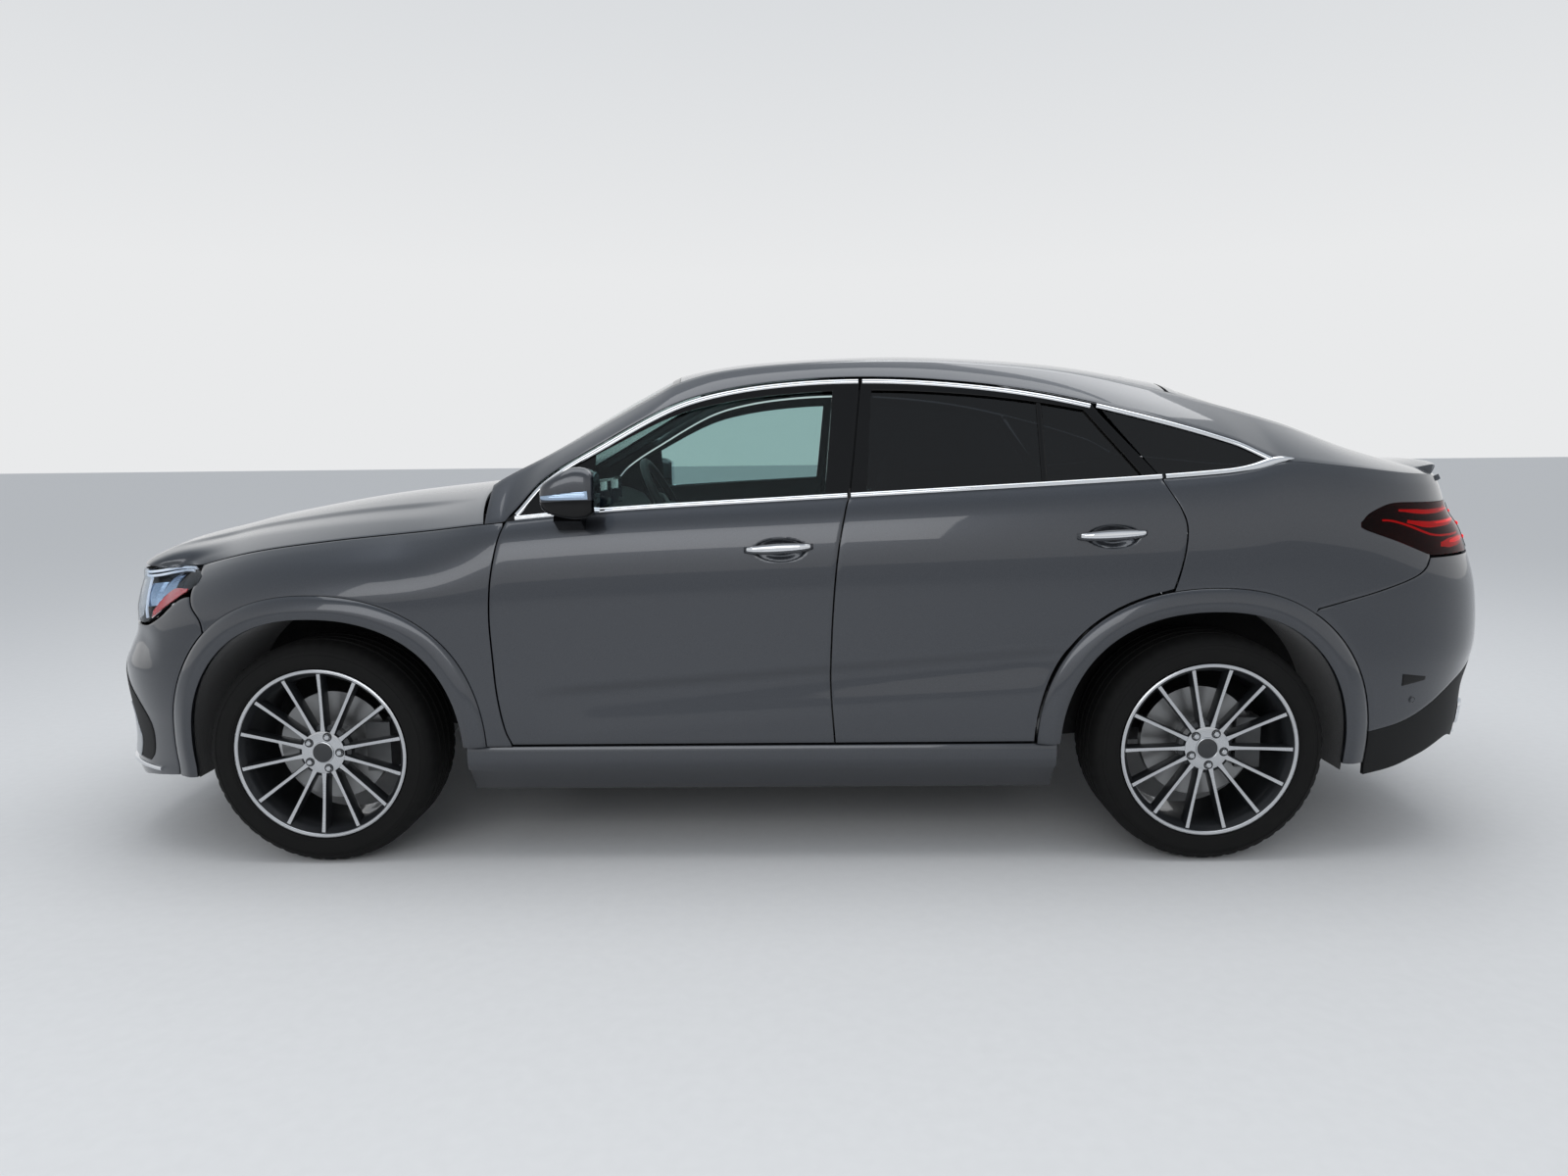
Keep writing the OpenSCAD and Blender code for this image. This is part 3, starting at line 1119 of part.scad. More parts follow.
wheel_set("wheel", false, 1);  // rear_right_wheel
wheel_set("tyre", true, -1);  // front_left_tyre
wheel_set("tyre", true, 1);  // front_right_tyre
wheel_set("tyre", false, -1);  // rear_left_tyre
wheel_set("tyre", false, 1);  // rear_right_tyre
wheel_set("disc", true, -1);  // front_left_disc
wheel_set("disc", true, 1);  // front_right_disc
wheel_set("disc", false, -1);  // rear_left_disc
wheel_set("disc", false, 1);  // rear_right_disc
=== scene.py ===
import math

import bmesh
import bpy
import numpy as np
from mathutils import Matrix, Vector


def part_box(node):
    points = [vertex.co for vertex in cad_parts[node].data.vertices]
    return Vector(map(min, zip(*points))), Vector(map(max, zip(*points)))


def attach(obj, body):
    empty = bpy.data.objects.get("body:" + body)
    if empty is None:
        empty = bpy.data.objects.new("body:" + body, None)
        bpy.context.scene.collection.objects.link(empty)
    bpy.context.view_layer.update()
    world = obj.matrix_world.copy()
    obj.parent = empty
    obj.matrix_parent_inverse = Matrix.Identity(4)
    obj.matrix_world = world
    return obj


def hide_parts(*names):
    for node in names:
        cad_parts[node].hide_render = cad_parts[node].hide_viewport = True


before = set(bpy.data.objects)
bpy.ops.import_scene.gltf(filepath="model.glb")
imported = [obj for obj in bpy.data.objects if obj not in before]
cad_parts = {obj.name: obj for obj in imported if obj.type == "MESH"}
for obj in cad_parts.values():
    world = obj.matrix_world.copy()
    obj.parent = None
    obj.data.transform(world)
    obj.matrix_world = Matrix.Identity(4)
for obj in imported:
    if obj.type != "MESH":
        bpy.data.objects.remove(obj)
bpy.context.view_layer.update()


# Floor pan, bulkhead and front frame.
# Pressed steel, welded together and sprayed with black underbody sealant; they carry everything else.
def linear(colour):
    """Turns an sRGB hex colour into the linear RGBA of a shader socket."""
    channels = [int(colour[i:i + 2], 16) / 255 for i in (1, 3, 5)]
    return [c / 12.92 if c <= 0.04045 else ((c + 0.055) / 1.055) ** 2.4 for c in channels] + [1.0]


def add(tree, kind, inputs, to=None, **settings):
    """Adds a node; an input is a value or an output socket to link from, and to is a socket to link to."""
    made = tree.nodes.new("ShaderNode" + kind)
    for name, value in settings.items():
        setattr(made, name, value)
    for name, value in inputs.items():
        if isinstance(value, bpy.types.NodeSocket):
            tree.links.new(value, made.inputs[name])
        else:
            made.inputs[name].default_value = value
    if to:
        tree.links.new(next(output for output in made.outputs if output.enabled), to)
    return made


def finish(name, colour, roughness, metallic=0.0, **sockets):
    """A new material with its even values on the shader's own sockets, and the place its patterns follow."""
    made = bpy.data.materials.new(name)
    made.use_nodes = True
    tree = made.node_tree
    shader = tree.nodes["Principled BSDF"]
    shader.inputs["Base Color"].default_value = linear(colour)
    shader.inputs["Roughness"].default_value = roughness
    shader.inputs["Metallic"].default_value = metallic
    for key, value in sockets.items():
        shader.inputs[key.replace("_", " ")].default_value = value
    return made, tree, shader, add(tree, "TexCoord", {}).outputs["Object"]


MM = 0.001


def per_mm(size):
    """Texture scale for a pattern with features of this many millimetres; a wave repeats three times in each."""
    return 1 / (size * MM)


def dress(material, *nodes):
    """Gives CAD nodes that keep their own shape a material."""
    for name in nodes:
        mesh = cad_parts[name].data
        mesh.materials.clear()
        mesh.materials.append(material)


# Sprayed sealant: dull black with a coarse orange-peel skin of about 6 mm
sealant, tree, shader, place = finish("underbody_sealant", "#17181A", 0.75)
peel = add(tree, "TexNoise", {"Vector": place, "Scale": per_mm(6), "Detail": 3.0})
add(tree, "Bump", {"Height": peel.outputs["Fac"], "Strength": 0.35, "Distance": 0.001}, shader.inputs["Normal"])
patchy = add(tree, "TexNoise", {"Vector": place, "Scale": per_mm(180), "Detail": 2.0})
add(tree, "Mix", {0: patchy.outputs["Fac"], 6: linear("#121315"), 7: linear("#1F2022")},
    shader.inputs["Base Color"], data_type="RGBA")
dress(sealant, "floor", "firewall", "front_frame")


# Engine block, subframes and hub carriers with the brake calipers.
# Sand-cast aluminium and iron, bolted under the rails; the knuckles turn with the steering.
# Cast skin: grey, grainy at 2.5 mm, with darker grease in broad patches
casting, tree, shader, place = finish("sand_cast_aluminium", "#6C6E70", 0.6, 0.7)
sand = add(tree, "TexNoise", {"Vector": place, "Scale": per_mm(2.5), "Detail": 4.0})
add(tree, "Bump", {"Height": sand.outputs["Fac"], "Strength": 0.4, "Distance": 0.0008}, shader.inputs["Normal"])
grease = add(tree, "TexNoise", {"Vector": place, "Scale": per_mm(120), "Detail": 3.0})
add(tree, "Mix", {0: grease.outputs["Fac"], 6: linear("#3A3B3C"), 7: linear("#7E8082")},
    shader.inputs["Base Color"], data_type="RGBA")
dress(casting, "engine", "front_subframe", "rear_subframe", "left_knuckle", "right_knuckle")


# Exhaust: the pipe with its silencer under the car.
# Rolled and welded stainless steel, hung under the tunnel.
# Rolled stainless: bright grey, straw-coloured where it has run hot, with fine lengthwise scratches
stainless, tree, shader, place = finish("rolled_stainless", "#9A958C", 0.32, 1.0)
along = add(tree, "Mapping", {"Vector": place, "Scale": (0.05, 1.0, 1.0)})
scratch = add(tree, "TexNoise", {"Vector": along.outputs["Vector"], "Scale": per_mm(4), "Detail": 4.0})
add(tree, "MapRange", {"Value": scratch.outputs["Fac"], "To Min": 0.22, "To Max": 0.45}, shader.inputs["Roughness"])
heat = add(tree, "TexNoise", {"Vector": place, "Scale": per_mm(260), "Detail": 2.0})
add(tree, "Mix", {0: heat.outputs["Fac"], 6: linear("#8E8A80"), 7: linear("#A79A80")},
    shader.inputs["Base Color"], data_type="RGBA")
dress(stainless, "exhaust")


# Brake discs, one behind each wheel.
# Cast in grey iron, turned on a lathe and bolted to the hubs.
SIDE_SIGNS = (("left", -1), ("right", 1))
WHEELS = [(end, side, sign) for end in ("front", "rear") for side, sign in SIDE_SIGNS]
# Turned iron: fine rings round the axle, drawn 6 mm apart so that they show
turned_iron, tree, shader, place = finish("turned_iron", "#8C8D8E", 0.35, 1.0)
middle = add(tree, "Mapping", {"Vector": place.node.outputs["Generated"], "Location": (-0.5, -0.5, -0.5)})
rings = add(tree, "TexWave", {"Vector": middle.outputs["Vector"], "Scale": 20.0, "Distortion": 0.3},
            wave_type="RINGS", rings_direction="Y")
add(tree, "Bump", {"Height": rings.outputs["Fac"], "Strength": 0.25, "Distance": 0.0004}, shader.inputs["Normal"])
add(tree, "MapRange", {"Value": rings.outputs["Fac"], "To Min": 0.28, "To Max": 0.42}, shader.inputs["Roughness"])
dress(turned_iron, *[f"{end}_{side}_disc" for end, side, _ in WHEELS])


# Wheels, cast aluminium with fourteen slim spokes.
# Painted dark grey all over, then the lip and the spoke faces are turned bright on a lathe;
# five bolts hold them to the hub and a plain cap closes the middle.
class Surface:
    """Quads gathered in millimetres; piece() turns them into one Blender object."""

    def __init__(self):
        self.points = np.zeros((0, 3))
        self.faces = []
        self.tints = []

    def grid(self, rows, keep=None, tint=0, ring=False, flip=False):
        """Joins a grid of points; keep masks its cells, tint is a material index or a mask of them."""
        rows = np.asarray(rows, float)
        count, width = rows.shape[:2]
        first = len(self.points)
        self.points = np.vstack([self.points, rows.reshape(-1, 3)])
        for j in range(count - 1):
            for i in range(width if ring else width - 1):
                if keep is not None and not keep[j][i]:
                    continue
                n = (i + 1) % width
                quad = [first + j * width + i, first + j * width + n,
                        first + (j + 1) * width + n, first + (j + 1) * width + i]
                self.faces.append(quad[::-1] if flip else quad)
                self.tints.append(tint if np.isscalar(tint) else int(tint[j][i]))
        return self

    def cap(self, loop, tint=0):
        """Closes a loop of points with one face."""
        first = len(self.points)
        self.points = np.vstack([self.points, np.asarray(loop, float)])
        self.faces.append(list(range(first, first + len(loop))))
        self.tints.append(tint)
        return self

    def bar(self, loops, tint=0):
        """A closed bar through a row of like loops, with a cap on each end."""
        return self.grid(loops, tint=tint, ring=True).cap(loops[0], tint).cap(loops[-1], tint)

    def box(self, low, high, tint=0):
        """A block between two corners."""
        (x0, y0, z0), (x1, y1, z1) = low, high
        loop = [(y0, z0), (y1, z0), (y1, z1), (y0, z1)]
        return self.bar([[(x, y, z) for y, z in loop] for x in (x0, x1)], tint)

    def join(self, other):
        """Takes over what another surface holds."""
        first = len(self.points)
        self.points = np.vstack([self.points, other.points])
        self.faces += [[first + v for v in face] for face in other.faces]
        self.tints += other.tints
        return self

    def moved(self, change):
        """A copy with its points changed by a function."""
        made = Surface()
        made.points = change(self.points.copy())
        made.faces = [list(face) for face in self.faces]
        made.tints = list(self.tints)
        return made

    def mirrored(self):
        """A copy on the other side of the car."""
        made = self.moved(lambda p: p * [1, -1, 1])
        made.faces = [face[::-1] for face in made.faces]
        return made

    def both(self):
        """This and its copy on the other side."""
        return self.join(self.mirrored())

    def on(self, sign):
        """This for the left side (-1), its copy for the right."""
        return self if sign < 0 else self.mirrored()

    def piece(self, name, materials, body, stands_for=(), slot=None, edge=0.0, sharp=32):
        """Makes the object; with an edge, its corners are rounded by so many millimetres."""
        mesh = bpy.data.meshes.new(name)
        mesh.from_pydata((self.points * MM).tolist(), [], self.faces)
        for material in materials:
            mesh.materials.append(material)
        mesh.polygons.foreach_set("material_index", self.tints)
        made = bpy.data.objects.new(name, mesh)
        bpy.context.scene.collection.objects.link(made)
        work = bmesh.new()
        work.from_mesh(mesh)
        bmesh.ops.remove_doubles(work, verts=work.verts, dist=0.00002)
        bmesh.ops.recalc_face_normals(work, faces=work.faces)
        work.to_mesh(mesh)
        work.free()
        if edge:
            rounding = made.modifiers.new("edge", "BEVEL")
            rounding.width = edge * MM
            rounding.segments = 2
            rounding.limit_method = "ANGLE"
            rounding.angle_limit = math.radians(45)
            done = made.evaluated_get(bpy.context.evaluated_depsgraph_get())
            made.data = bpy.data.meshes.new_from_object(done)
            made.modifiers.clear()
            bpy.data.meshes.remove(mesh)
            made.data.name = name
        made.data.polygons.foreach_set("use_smooth", [True] * len(made.data.polygons))
        made.data.set_sharp_from_angle(angle=math.radians(sharp))
        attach(made, body)
        if stands_for:
            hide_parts(*stands_for)
        return made


def turned(profile, count):
    """Rows of points of a profile of (radius, depth) turned about the wheel's axle, Y."""
    angles = np.arange(count) * 2 * math.pi / count
    return [[(r * math.cos(a), -d, r * math.sin(a)) for a in angles] for r, d in profile]


# Dark wheel enamel: satin anthracite with a slight mottle
wheel_enamel, tree, shader, place = finish("wheel_enamel", "#2B2D30", 0.38, 0.4, Coat_Weight=0.5)
mottle = add(tree, "TexNoise", {"Vector": place, "Scale": per_mm(3), "Detail": 3.0})
add(tree, "MapRange", {"Value": mottle.outputs["Fac"], "To Min": 0.3, "To Max": 0.46}, shader.inputs["Roughness"])
# Diamond-turned aluminium: bright, with rings from the tool drawn 5 mm apart so that they show
bright_alloy, tree, shader, place = finish("diamond_turned_aluminium", "#C2C4C7", 0.26, 1.0)
middle = add(tree, "Mapping", {"Vector": place.node.outputs["Generated"], "Location": (-0.5, -0.5, -0.5)})
rings = add(tree, "TexWave", {"Vector": middle.outputs["Vector"], "Scale": 34.0, "Distortion": 0.2},
            wave_type="RINGS", rings_direction="Y")
add(tree, "Bump", {"Height": rings.outputs["Fac"], "Strength": 0.12, "Distance": 0.0003}, shader.inputs["Normal"])
add(tree, "MapRange", {"Value": rings.outputs["Fac"], "To Min": 0.16, "To Max": 0.3}, shader.inputs["Roughness"])

TYRE_RADIUS = 380
RIM_RADIUS = 290
SPOKES = 14
HUB_RADIUS = 88
BOLTS = 5
BOLT_RADIUS = 56
TYRE_WIDTH = {"front": 275, "rear": 290}
# The front wheels stand turned so that a spoke points almost straight up, as parked
PARKED_TURN = {"front": 10.9, "rear": 0.0}


def wheel_face(width, turn):
    """Rim, spokes, hub, bolts and cap of a wheel with its face towards -Y."""
    face = width / 2 - 12
    made = Surface()
    dark, bright = 0, 1
    lip = [(RIM_RADIUS - 1, face - 6), (RIM_RADIUS, face + 1), (RIM_RADIUS - 2, face + 6), (RIM_RADIUS - 6, face + 8),
           (RIM_RADIUS - 12, face + 7), (RIM_RADIUS - 15, face + 4)]
    well = [(RIM_RADIUS - 15, face + 4), (RIM_RADIUS - 17, face - 4), (RIM_RADIUS - 26, face - 14),
            (RIM_RADIUS - 33, face - 40), (RIM_RADIUS - 36, 10), (RIM_RADIUS - 30, -width / 2 + 30)]
    back = [(RIM_RADIUS - 30, -width / 2 + 30), (RIM_RADIUS - 15, -width / 2 + 27), (RIM_RADIUS - 15, face - 11),
            (RIM_RADIUS - 1, face - 6)]
    for profile, tint in ((lip, bright), (well, dark), (back, dark)):
        made.grid(turned(profile, 112), tint=tint, ring=True)
    # Each spoke is a tapering bar whose narrow face is turned bright and whose flanks spread to the back
    shares = np.linspace(0, 1, 9)
    radii = HUB_RADIUS - 26 + shares * (RIM_RADIUS - 18 - HUB_RADIUS + 26)
    depth = face - 20 + 20 * shares ** 1.6
    half = 7.2 - 1.4 * np.sin(math.pi * shares) + 3.5 * np.clip(1 - shares * 4, 0, 1) ** 2
    for k in range(SPOKES):
        a = math.radians(k * 360 / SPOKES + turn)
        out, side = np.array([math.cos(a), 0, math.sin(a)]), np.array([-math.sin(a), 0, math.cos(a)])

        def line(across, down):
            return [out * r + side * across * h - np.array([0, d - down, 0])
                    for r, h, d in zip(radii, half, depth)]
        made.grid([line(-0.82, 0), line(0.82, 0)], tint=bright)
        made.grid([line(0.82, 0), line(1.0, 2.5), line(1.45, 26), line(1.1, 46)], tint=dark)
        made.grid([line(-0.82, 0), line(-1.0, 2.5), line(-1.45, 26), line(-1.1, 46)], tint=dark, flip=True)
    top = face - 20
    hub = [(30, top + 3), (HUB_RADIUS - 24, top + 3), (HUB_RADIUS - 16, top + 1), (HUB_RADIUS - 12, top - 8),
           (HUB_RADIUS, top - 16), (HUB_RADIUS, top - 42), (20, top - 42)]
    made.grid(turned(hub[:3], 70), tint=bright, ring=True).grid(turned(hub[2:], 70), tint=dark, ring=True)
    for k in range(BOLTS):
        a = math.radians(k * 360 / BOLTS - 11.5 + turn)
        at = np.array([BOLT_RADIUS * math.cos(a), 0, BOLT_RADIUS * math.sin(a)])
        pocket = [(15.5, top + 2.6), (15, top + 3.8), (11, top + 3.8), (10.4, top + 4)]
        head = [(10.4, top + 4), (9.6, top + 10), (7, top + 12), (0.4, top + 12)]
        made.grid(np.array(turned(pocket, 24)) + at, tint=dark, ring=True)
        made.grid(np.array(turned(head, 6)) + at, tint=bright, ring=True)
    cap = [(38, top + 3), (37, top + 6), (34.5, top + 7), (33, top + 6), (31.5, top + 6.4), (22, top + 8.6),
           (10, top + 9.8), (0.3, top + 10)]
    made.grid(turned(cap[:4], 48), tint=bright, ring=True).grid(turned(cap[3:], 48), tint=dark, ring=True)
    return made


def at_wheel(end, sign):
    """Moves what is built about the origin, facing -Y, to a wheel's place."""
    low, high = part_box(f"{end}_{'left' if sign < 0 else 'right'}_tyre")
    centre = np.array((low + high) / 2) / MM
    return lambda p: p * [-sign, -sign, 1] + centre


for end, side, sign in WHEELS:
    face = wheel_face(TYRE_WIDTH[end], PARKED_TURN[end] if sign < 0 else -PARKED_TURN[end])
    face.moved(at_wheel(end, sign)).piece(
        f"{end}_{side}_alloy_wheel", [wheel_enamel, bright_alloy], f"{end}_{side}_wheel_body",
        [f"{end}_{side}_wheel"], "machined_alloy")


# Tyres, vulcanised rubber with four tread grooves and cut shoulder blocks.
# They are pressed over the rim; the sidewall has plain moulded rings and no lettering.
# Tyre rubber: matt near-black, greyer on the worn tread, with a 4 mm mould grain
tyre_rubber, tree, shader, place = finish("tyre_rubber", "#0A0A0B", 0.82, Specular_IOR_Level=0.25)
grain = add(tree, "TexNoise", {"Vector": place, "Scale": per_mm(4), "Detail": 4.0})
add(tree, "Bump", {"Height": grain.outputs["Fac"], "Strength": 0.2, "Distance": 0.0006}, shader.inputs["Normal"])
dust = add(tree, "TexNoise", {"Vector": place, "Scale": per_mm(70), "Detail": 4.0})
add(tree, "Mix", {0: dust.outputs["Fac"], 6: linear("#070708"), 7: linear("#121211")},
    shader.inputs["Base Color"], data_type="RGBA")

TREAD_STEPS = 200
GROOVE_DEPTH = 7
SLOT_DEPTH = 3
for end, side, sign in WHEELS:
    w = TYRE_WIDTH[end] / 2
    r, rim = TYRE_RADIUS, RIM_RADIUS
    wall = [(rim - 14, w - 24), (rim - 2, w - 20), (rim + 2, w - 8), (rim + 8, w - 4), (rim + 9, w - 2.5),
            (rim + 13, w - 2.5), (rim + 14, w - 1.5), (rim + 34, w - 0.5), (rim + 47, w - 1.5), (rim + 48, w - 3),
            (r - 31, w - 6), (r - 29.5, w - 4.5), (r - 22, w - 9), (r - 12, w - 17)]
    tread = [(r - 8, w - 23), (r - 3, w - 36), (r - 1, w - 48)]
    for groove in (0.52, 0.17, -0.17, -0.52):
        middle = groove * w
        tread += [(r, middle + 7), (r - GROOVE_DEPTH, middle + 5), (r - GROOVE_DEPTH, middle - 5), (r, middle - 7)]
    tread += [(r - 1, -w + 48), (r - 3, -w + 36), (r - 8, -w + 23)]
    profile = wall + tread + [(a, -d) for a, d in wall[::-1]]
    rows = np.array(turned(profile, TREAD_STEPS))
    # Every fourth step is a narrow slot across the shoulder blocks
    slots = np.arange(TREAD_STEPS) % 4 == 0
    for j, (a, d) in enumerate(profile):
        if a > r - 14 and abs(d) > 0.6 * w:
            rows[j, slots] *= np.array([1 - SLOT_DEPTH / r, 1, 1 - SLOT_DEPTH / r])
    Surface().grid(rows, ring=True).moved(at_wheel(end, sign)).piece(
        f"{end}_{side}_road_tyre", [tyre_rubber], f"{end}_{side}_wheel_body", [f"{end}_{side}_tyre"],
        "tyre_rubber", sharp=28)


# Body sides: roof rails with the pillars, and the sills.
# Pressed steel, spot-welded into one frame and painted dark metallic grey under clear lacquer.
# The lines below are the car's own, in millimetres along the car and up.
SHOULDER = [
    (-2200, 946), (-2043, 992), (-1813, 1046), (-1544, 1082), (-1209, 1114), (-989, 1140), (-588, 1174), (-17, 1203),
    (456, 1225), (1081, 1256), (1391, 1277), (1484, 1291), (1578, 1314), (1750, 1300), (2000, 1272), (2185, 1258),
    (2300, 1240)]
WINDOW_TOP = [
    (-1043, 1146), (-925, 1156), (-806, 1281), (-604, 1406), (-408, 1512), (-278, 1556), (-81, 1590), (182, 1606),
    (474, 1596), (797, 1556), (1114, 1483), (1435, 1386), (1578, 1316), (1640, 1311), (1750, 1300), (2000, 1272),
    (2185, 1258), (2300, 1240)]
ROOF_EDGE = [
    (-1043, 1232), (-946, 1290), (-819, 1356), (-689, 1427), (-559, 1499), (-455, 1556), (-387, 1592), (-242, 1632),
    (0, 1657), (300, 1666), (600, 1657), (956, 1621), (1305, 1549), (1689, 1445), (1931, 1356), (2120, 1300),
    (2300, 1250)]
ROOF_EDGE_WIDTH = [
    (-1043, 800), (-946, 772), (-819, 735), (-689, 705), (-559, 682), (-387, 660), (-242, 652), (300, 652), (600, 646),
    (956, 635), (1305, 615), (1689, 592), (1931, 578), (2120, 570), (2300, 600)]
NOSE_PROFILE = [
    (200, 80), (240, 24), (300, 0), (380, 17), (460, 20), (520, 10), (596, 0), (650, 3), (700, 20), (754, 46),
    (850, 76), (945, 94), (1000, 104), (1060, 130)]
TAIL_PROFILE = [
    (280, 70), (360, 52), (469, 42), (542, 37), (612, 18), (680, 1), (767, 0), (869, 14), (937, 33), (1006, 60),
    (1085, 96), (1130, 130), (1173, 146), (1258, 168), (1320, 196)]
SIDE_SECTION = [(0, 30), (0.11, 13), (0.3, 3), (0.5, 5), (0.68, 0), (0.8, 4), (0.9, 18), (0.96, 38), (1, 62)]
HALF_WIDTH = 985
SKIRT = 320
SILL_TOP = 408
NOSE, TAIL = -2472, 2472
FRONT_AXLE, REAR_AXLE = -1569, 1366
FRONT_TAPER, REAR_TAPER = -1300, 1370
ROUNDNESS = 3.5
# The gap at a shut line, and the hair's breadth between panels that are seated on each other
GAP, SEAT = 5.5, 0.6
# The glasshouse leans in by this much for each step up
LEAN = 0.46


def curve(line, x):
    """Smooth curve through points (place, value), flat beyond its ends."""
    at, value = np.array(line, float).T
    slope = np.empty_like(value)
    slope[1:-1] = (value[2:] - value[:-2]) / (at[2:] - at[:-2])
    slope[0] = (value[1] - value[0]) / (at[1] - at[0])
    slope[-1] = (value[-1] - value[-2]) / (at[-1] - at[-2])
    x = np.clip(x, at[0], at[-1])
    i = np.clip(np.searchsorted(at, x, side="right") - 1, 0, len(at) - 2)
    span = at[i + 1] - at[i]
    t = (x - at[i]) / span
    a, b, m, n = value[i], value[i + 1], slope[i] * span, slope[i + 1] * span
    return a + t * (m + t * (3 * (b - a) - 2 * m - n + t * (2 * (a - b) + m + n)))


def lerp(a, b, t):
    """A value between two, by share."""
    return a + (b - a) * t


def ease(t):
    """A share from 0 to 1 that starts and ends gently."""
    t = np.clip(t, 0, 1)
    return t * t * (3 - 2 * t)


def shoulder(x):
    """Height of the line under the windows."""
    return curve(SHOULDER, x)


def window_top(x):
    """Height of the windows' upper edge, never under the shoulder."""
    return np.maximum(curve(WINDOW_TOP, x), shoulder(x) + 16 * ease((1580 - x) / 60))


def nose_x(z):
    """Place of the nose in the middle of the car."""
    return NOSE + curve(NOSE_PROFILE, z)


def tail_x(z):
    """Place of the tail in the middle of the car."""
    return TAIL - curve(TAIL_PROFILE, z)


def tuck(x, z):
    """How far the side lies inside the widest line; the front fenders roll in more."""
    t = (z - SKIRT) / (shoulder(x) - SKIRT)
    return curve(SIDE_SECTION, t) + 90 * ease((x + 900) / -400) * np.clip((t - 0.72) / 0.28, 0, 1) ** 2


def plan_share(a):
    """Share of the width that is left part of the way round a corner."""
    return np.maximum(0, 1 - np.clip(a, 0, 1) ** ROUNDNESS) ** (1 / ROUNDNESS)


def side_y(x, z):
    """Half width of the body below the shoulder."""
    return ((HALF_WIDTH - tuck(x, z)) * plan_share((FRONT_TAPER - x) / (FRONT_TAPER - nose_x(z)))
            * plan_share((x - REAR_TAPER) / (tail_x(z) - REAR_TAPER)))


def house_y(x, z):
    """Half width of the glasshouse, which leans in above the shoulder."""
    return side_y(x, shoulder(x)) - LEAN * (z - shoulder(x))


def left(x, z, inset=0.0):
    """Points of the left skin, set in across the car."""
    x, z = np.broadcast_arrays(np.asarray(x, float), np.asarray(z, float))
    y = np.where(z <= shoulder(x), side_y(x, z), house_y(x, z))
    return np.stack([x, inset - y, z], -1)


def inward(rows, depth, sideways=False):
    """A grid set in by a depth, square to itself or straight across the car."""
    if sideways:
        return rows - np.sign(rows[..., 1:2]) * [[[0, 1, 0]]] * np.reshape(depth, np.shape(depth) + (1,))
    normal = np.cross(np.gradient(rows, axis=1), np.gradient(rows, axis=0))
    normal /= np.maximum(np.linalg.norm(normal, axis=-1, keepdims=True), 1e-9)
    middle = np.array([np.clip(np.mean(rows[..., 0]), -1400, 1300), 0, 760])
    facing = np.sum(normal * (middle - rows), axis=-1)
    return rows + normal * np.sign(np.sum(facing)) * depth


def shell(outer, inner, keep=None, tint=0, lining=0):
    """A closed panel between two like grids, with walls round its border and openings."""
    made = Surface()
    count, width = outer.shape[:2]
    keep = np.ones((count - 1, width - 1), bool) if keep is None else np.asarray(keep)
    tints = np.full(keep.shape, tint) if np.isscalar(tint) else np.asarray(tint)
    made.grid(outer, keep, tints).grid(inner, keep, tints + lining, flip=True)
    far = count * width
    padded = np.pad(keep, 1)
    for j, i in np.argwhere(keep):
        corner = [j * width + i, j * width + i + 1, (j + 1) * width + i + 1, (j + 1) * width + i]
        for side, (dj, di) in enumerate(((-1, 0), (0, 1), (1, 0), (0, -1))):
            if not padded[j + 1 + dj, i + 1 + di]:
                a, b = corner[side], corner[(side + 1) % 4]
                made.faces.append([b, a, a + far, b + far])
                made.tints.append(int(tints[j, i]))
    return made


# Metallic lacquer: dark grey flakes under a clear coat; flakes are drawn at 1.5 mm, larger than real,
# and a faint 9 mm ripple is the paint's own orange peel
paint, tree, shader, place = finish("metallic_lacquer", "#3A3D42", 0.3, 0.8, Coat_Weight=1.0, Coat_Roughness=0.03)
flake = add(tree, "TexNoise", {"Vector": place, "Scale": per_mm(1.5), "Detail": 1.0})
add(tree, "Mix", {0: flake.outputs["Fac"], 6: linear("#303338"), 7: linear("#4A4D53")},
    shader.inputs["Base Color"], data_type="RGBA")
peel = add(tree, "TexNoise", {"Vector": place, "Scale": per_mm(9), "Detail": 1.0})
add(tree, "Bump", {"Height": peel.outputs["Fac"], "Strength": 0.02, "Distance": 0.0004}, shader.inputs["Coat Normal"])

RAIL_FRONT, RAIL_REAR, RAIL_DEPTH = -994, 2226, 40
PILLAR_FOOT = -905
xs = np.linspace(RAIL_FRONT, RAIL_REAR, 184)
ts = np.linspace(0, 1, 10)[:, None]
rail_x = xs[None] + 8 * ts * ease((xs[None] - 2160) / 60)
# In front of the door the foot of the pillar reaches down to the fender
rail_low = lerp(window_top(rail_x), shoulder(rail_x) - 1, ease((PILLAR_FOOT - rail_x) / 24))
# At the tail the rail stays under the line of the tailgate's side
rail_high = np.minimum(curve(ROOF_EDGE, rail_x), 2295 - 0.46 * rail_x)
rail = np.stack([
    rail_x,
    -lerp(house_y(rail_x, rail_low), curve(ROOF_EDGE_WIDTH, rail_x), ts) - 8 * np.sin(math.pi * ts),
    lerp(rail_low, rail_high, ts)], -1)
behind = np.stack(np.broadcast_arrays(0 * ts, RAIL_DEPTH * (1 - ts), -RAIL_DEPTH * ts), -1)
shell(rail, rail + behind).both().piece(
    "roof_rails", [paint], "body", ["roof_frame"], "body_paint", edge=3)

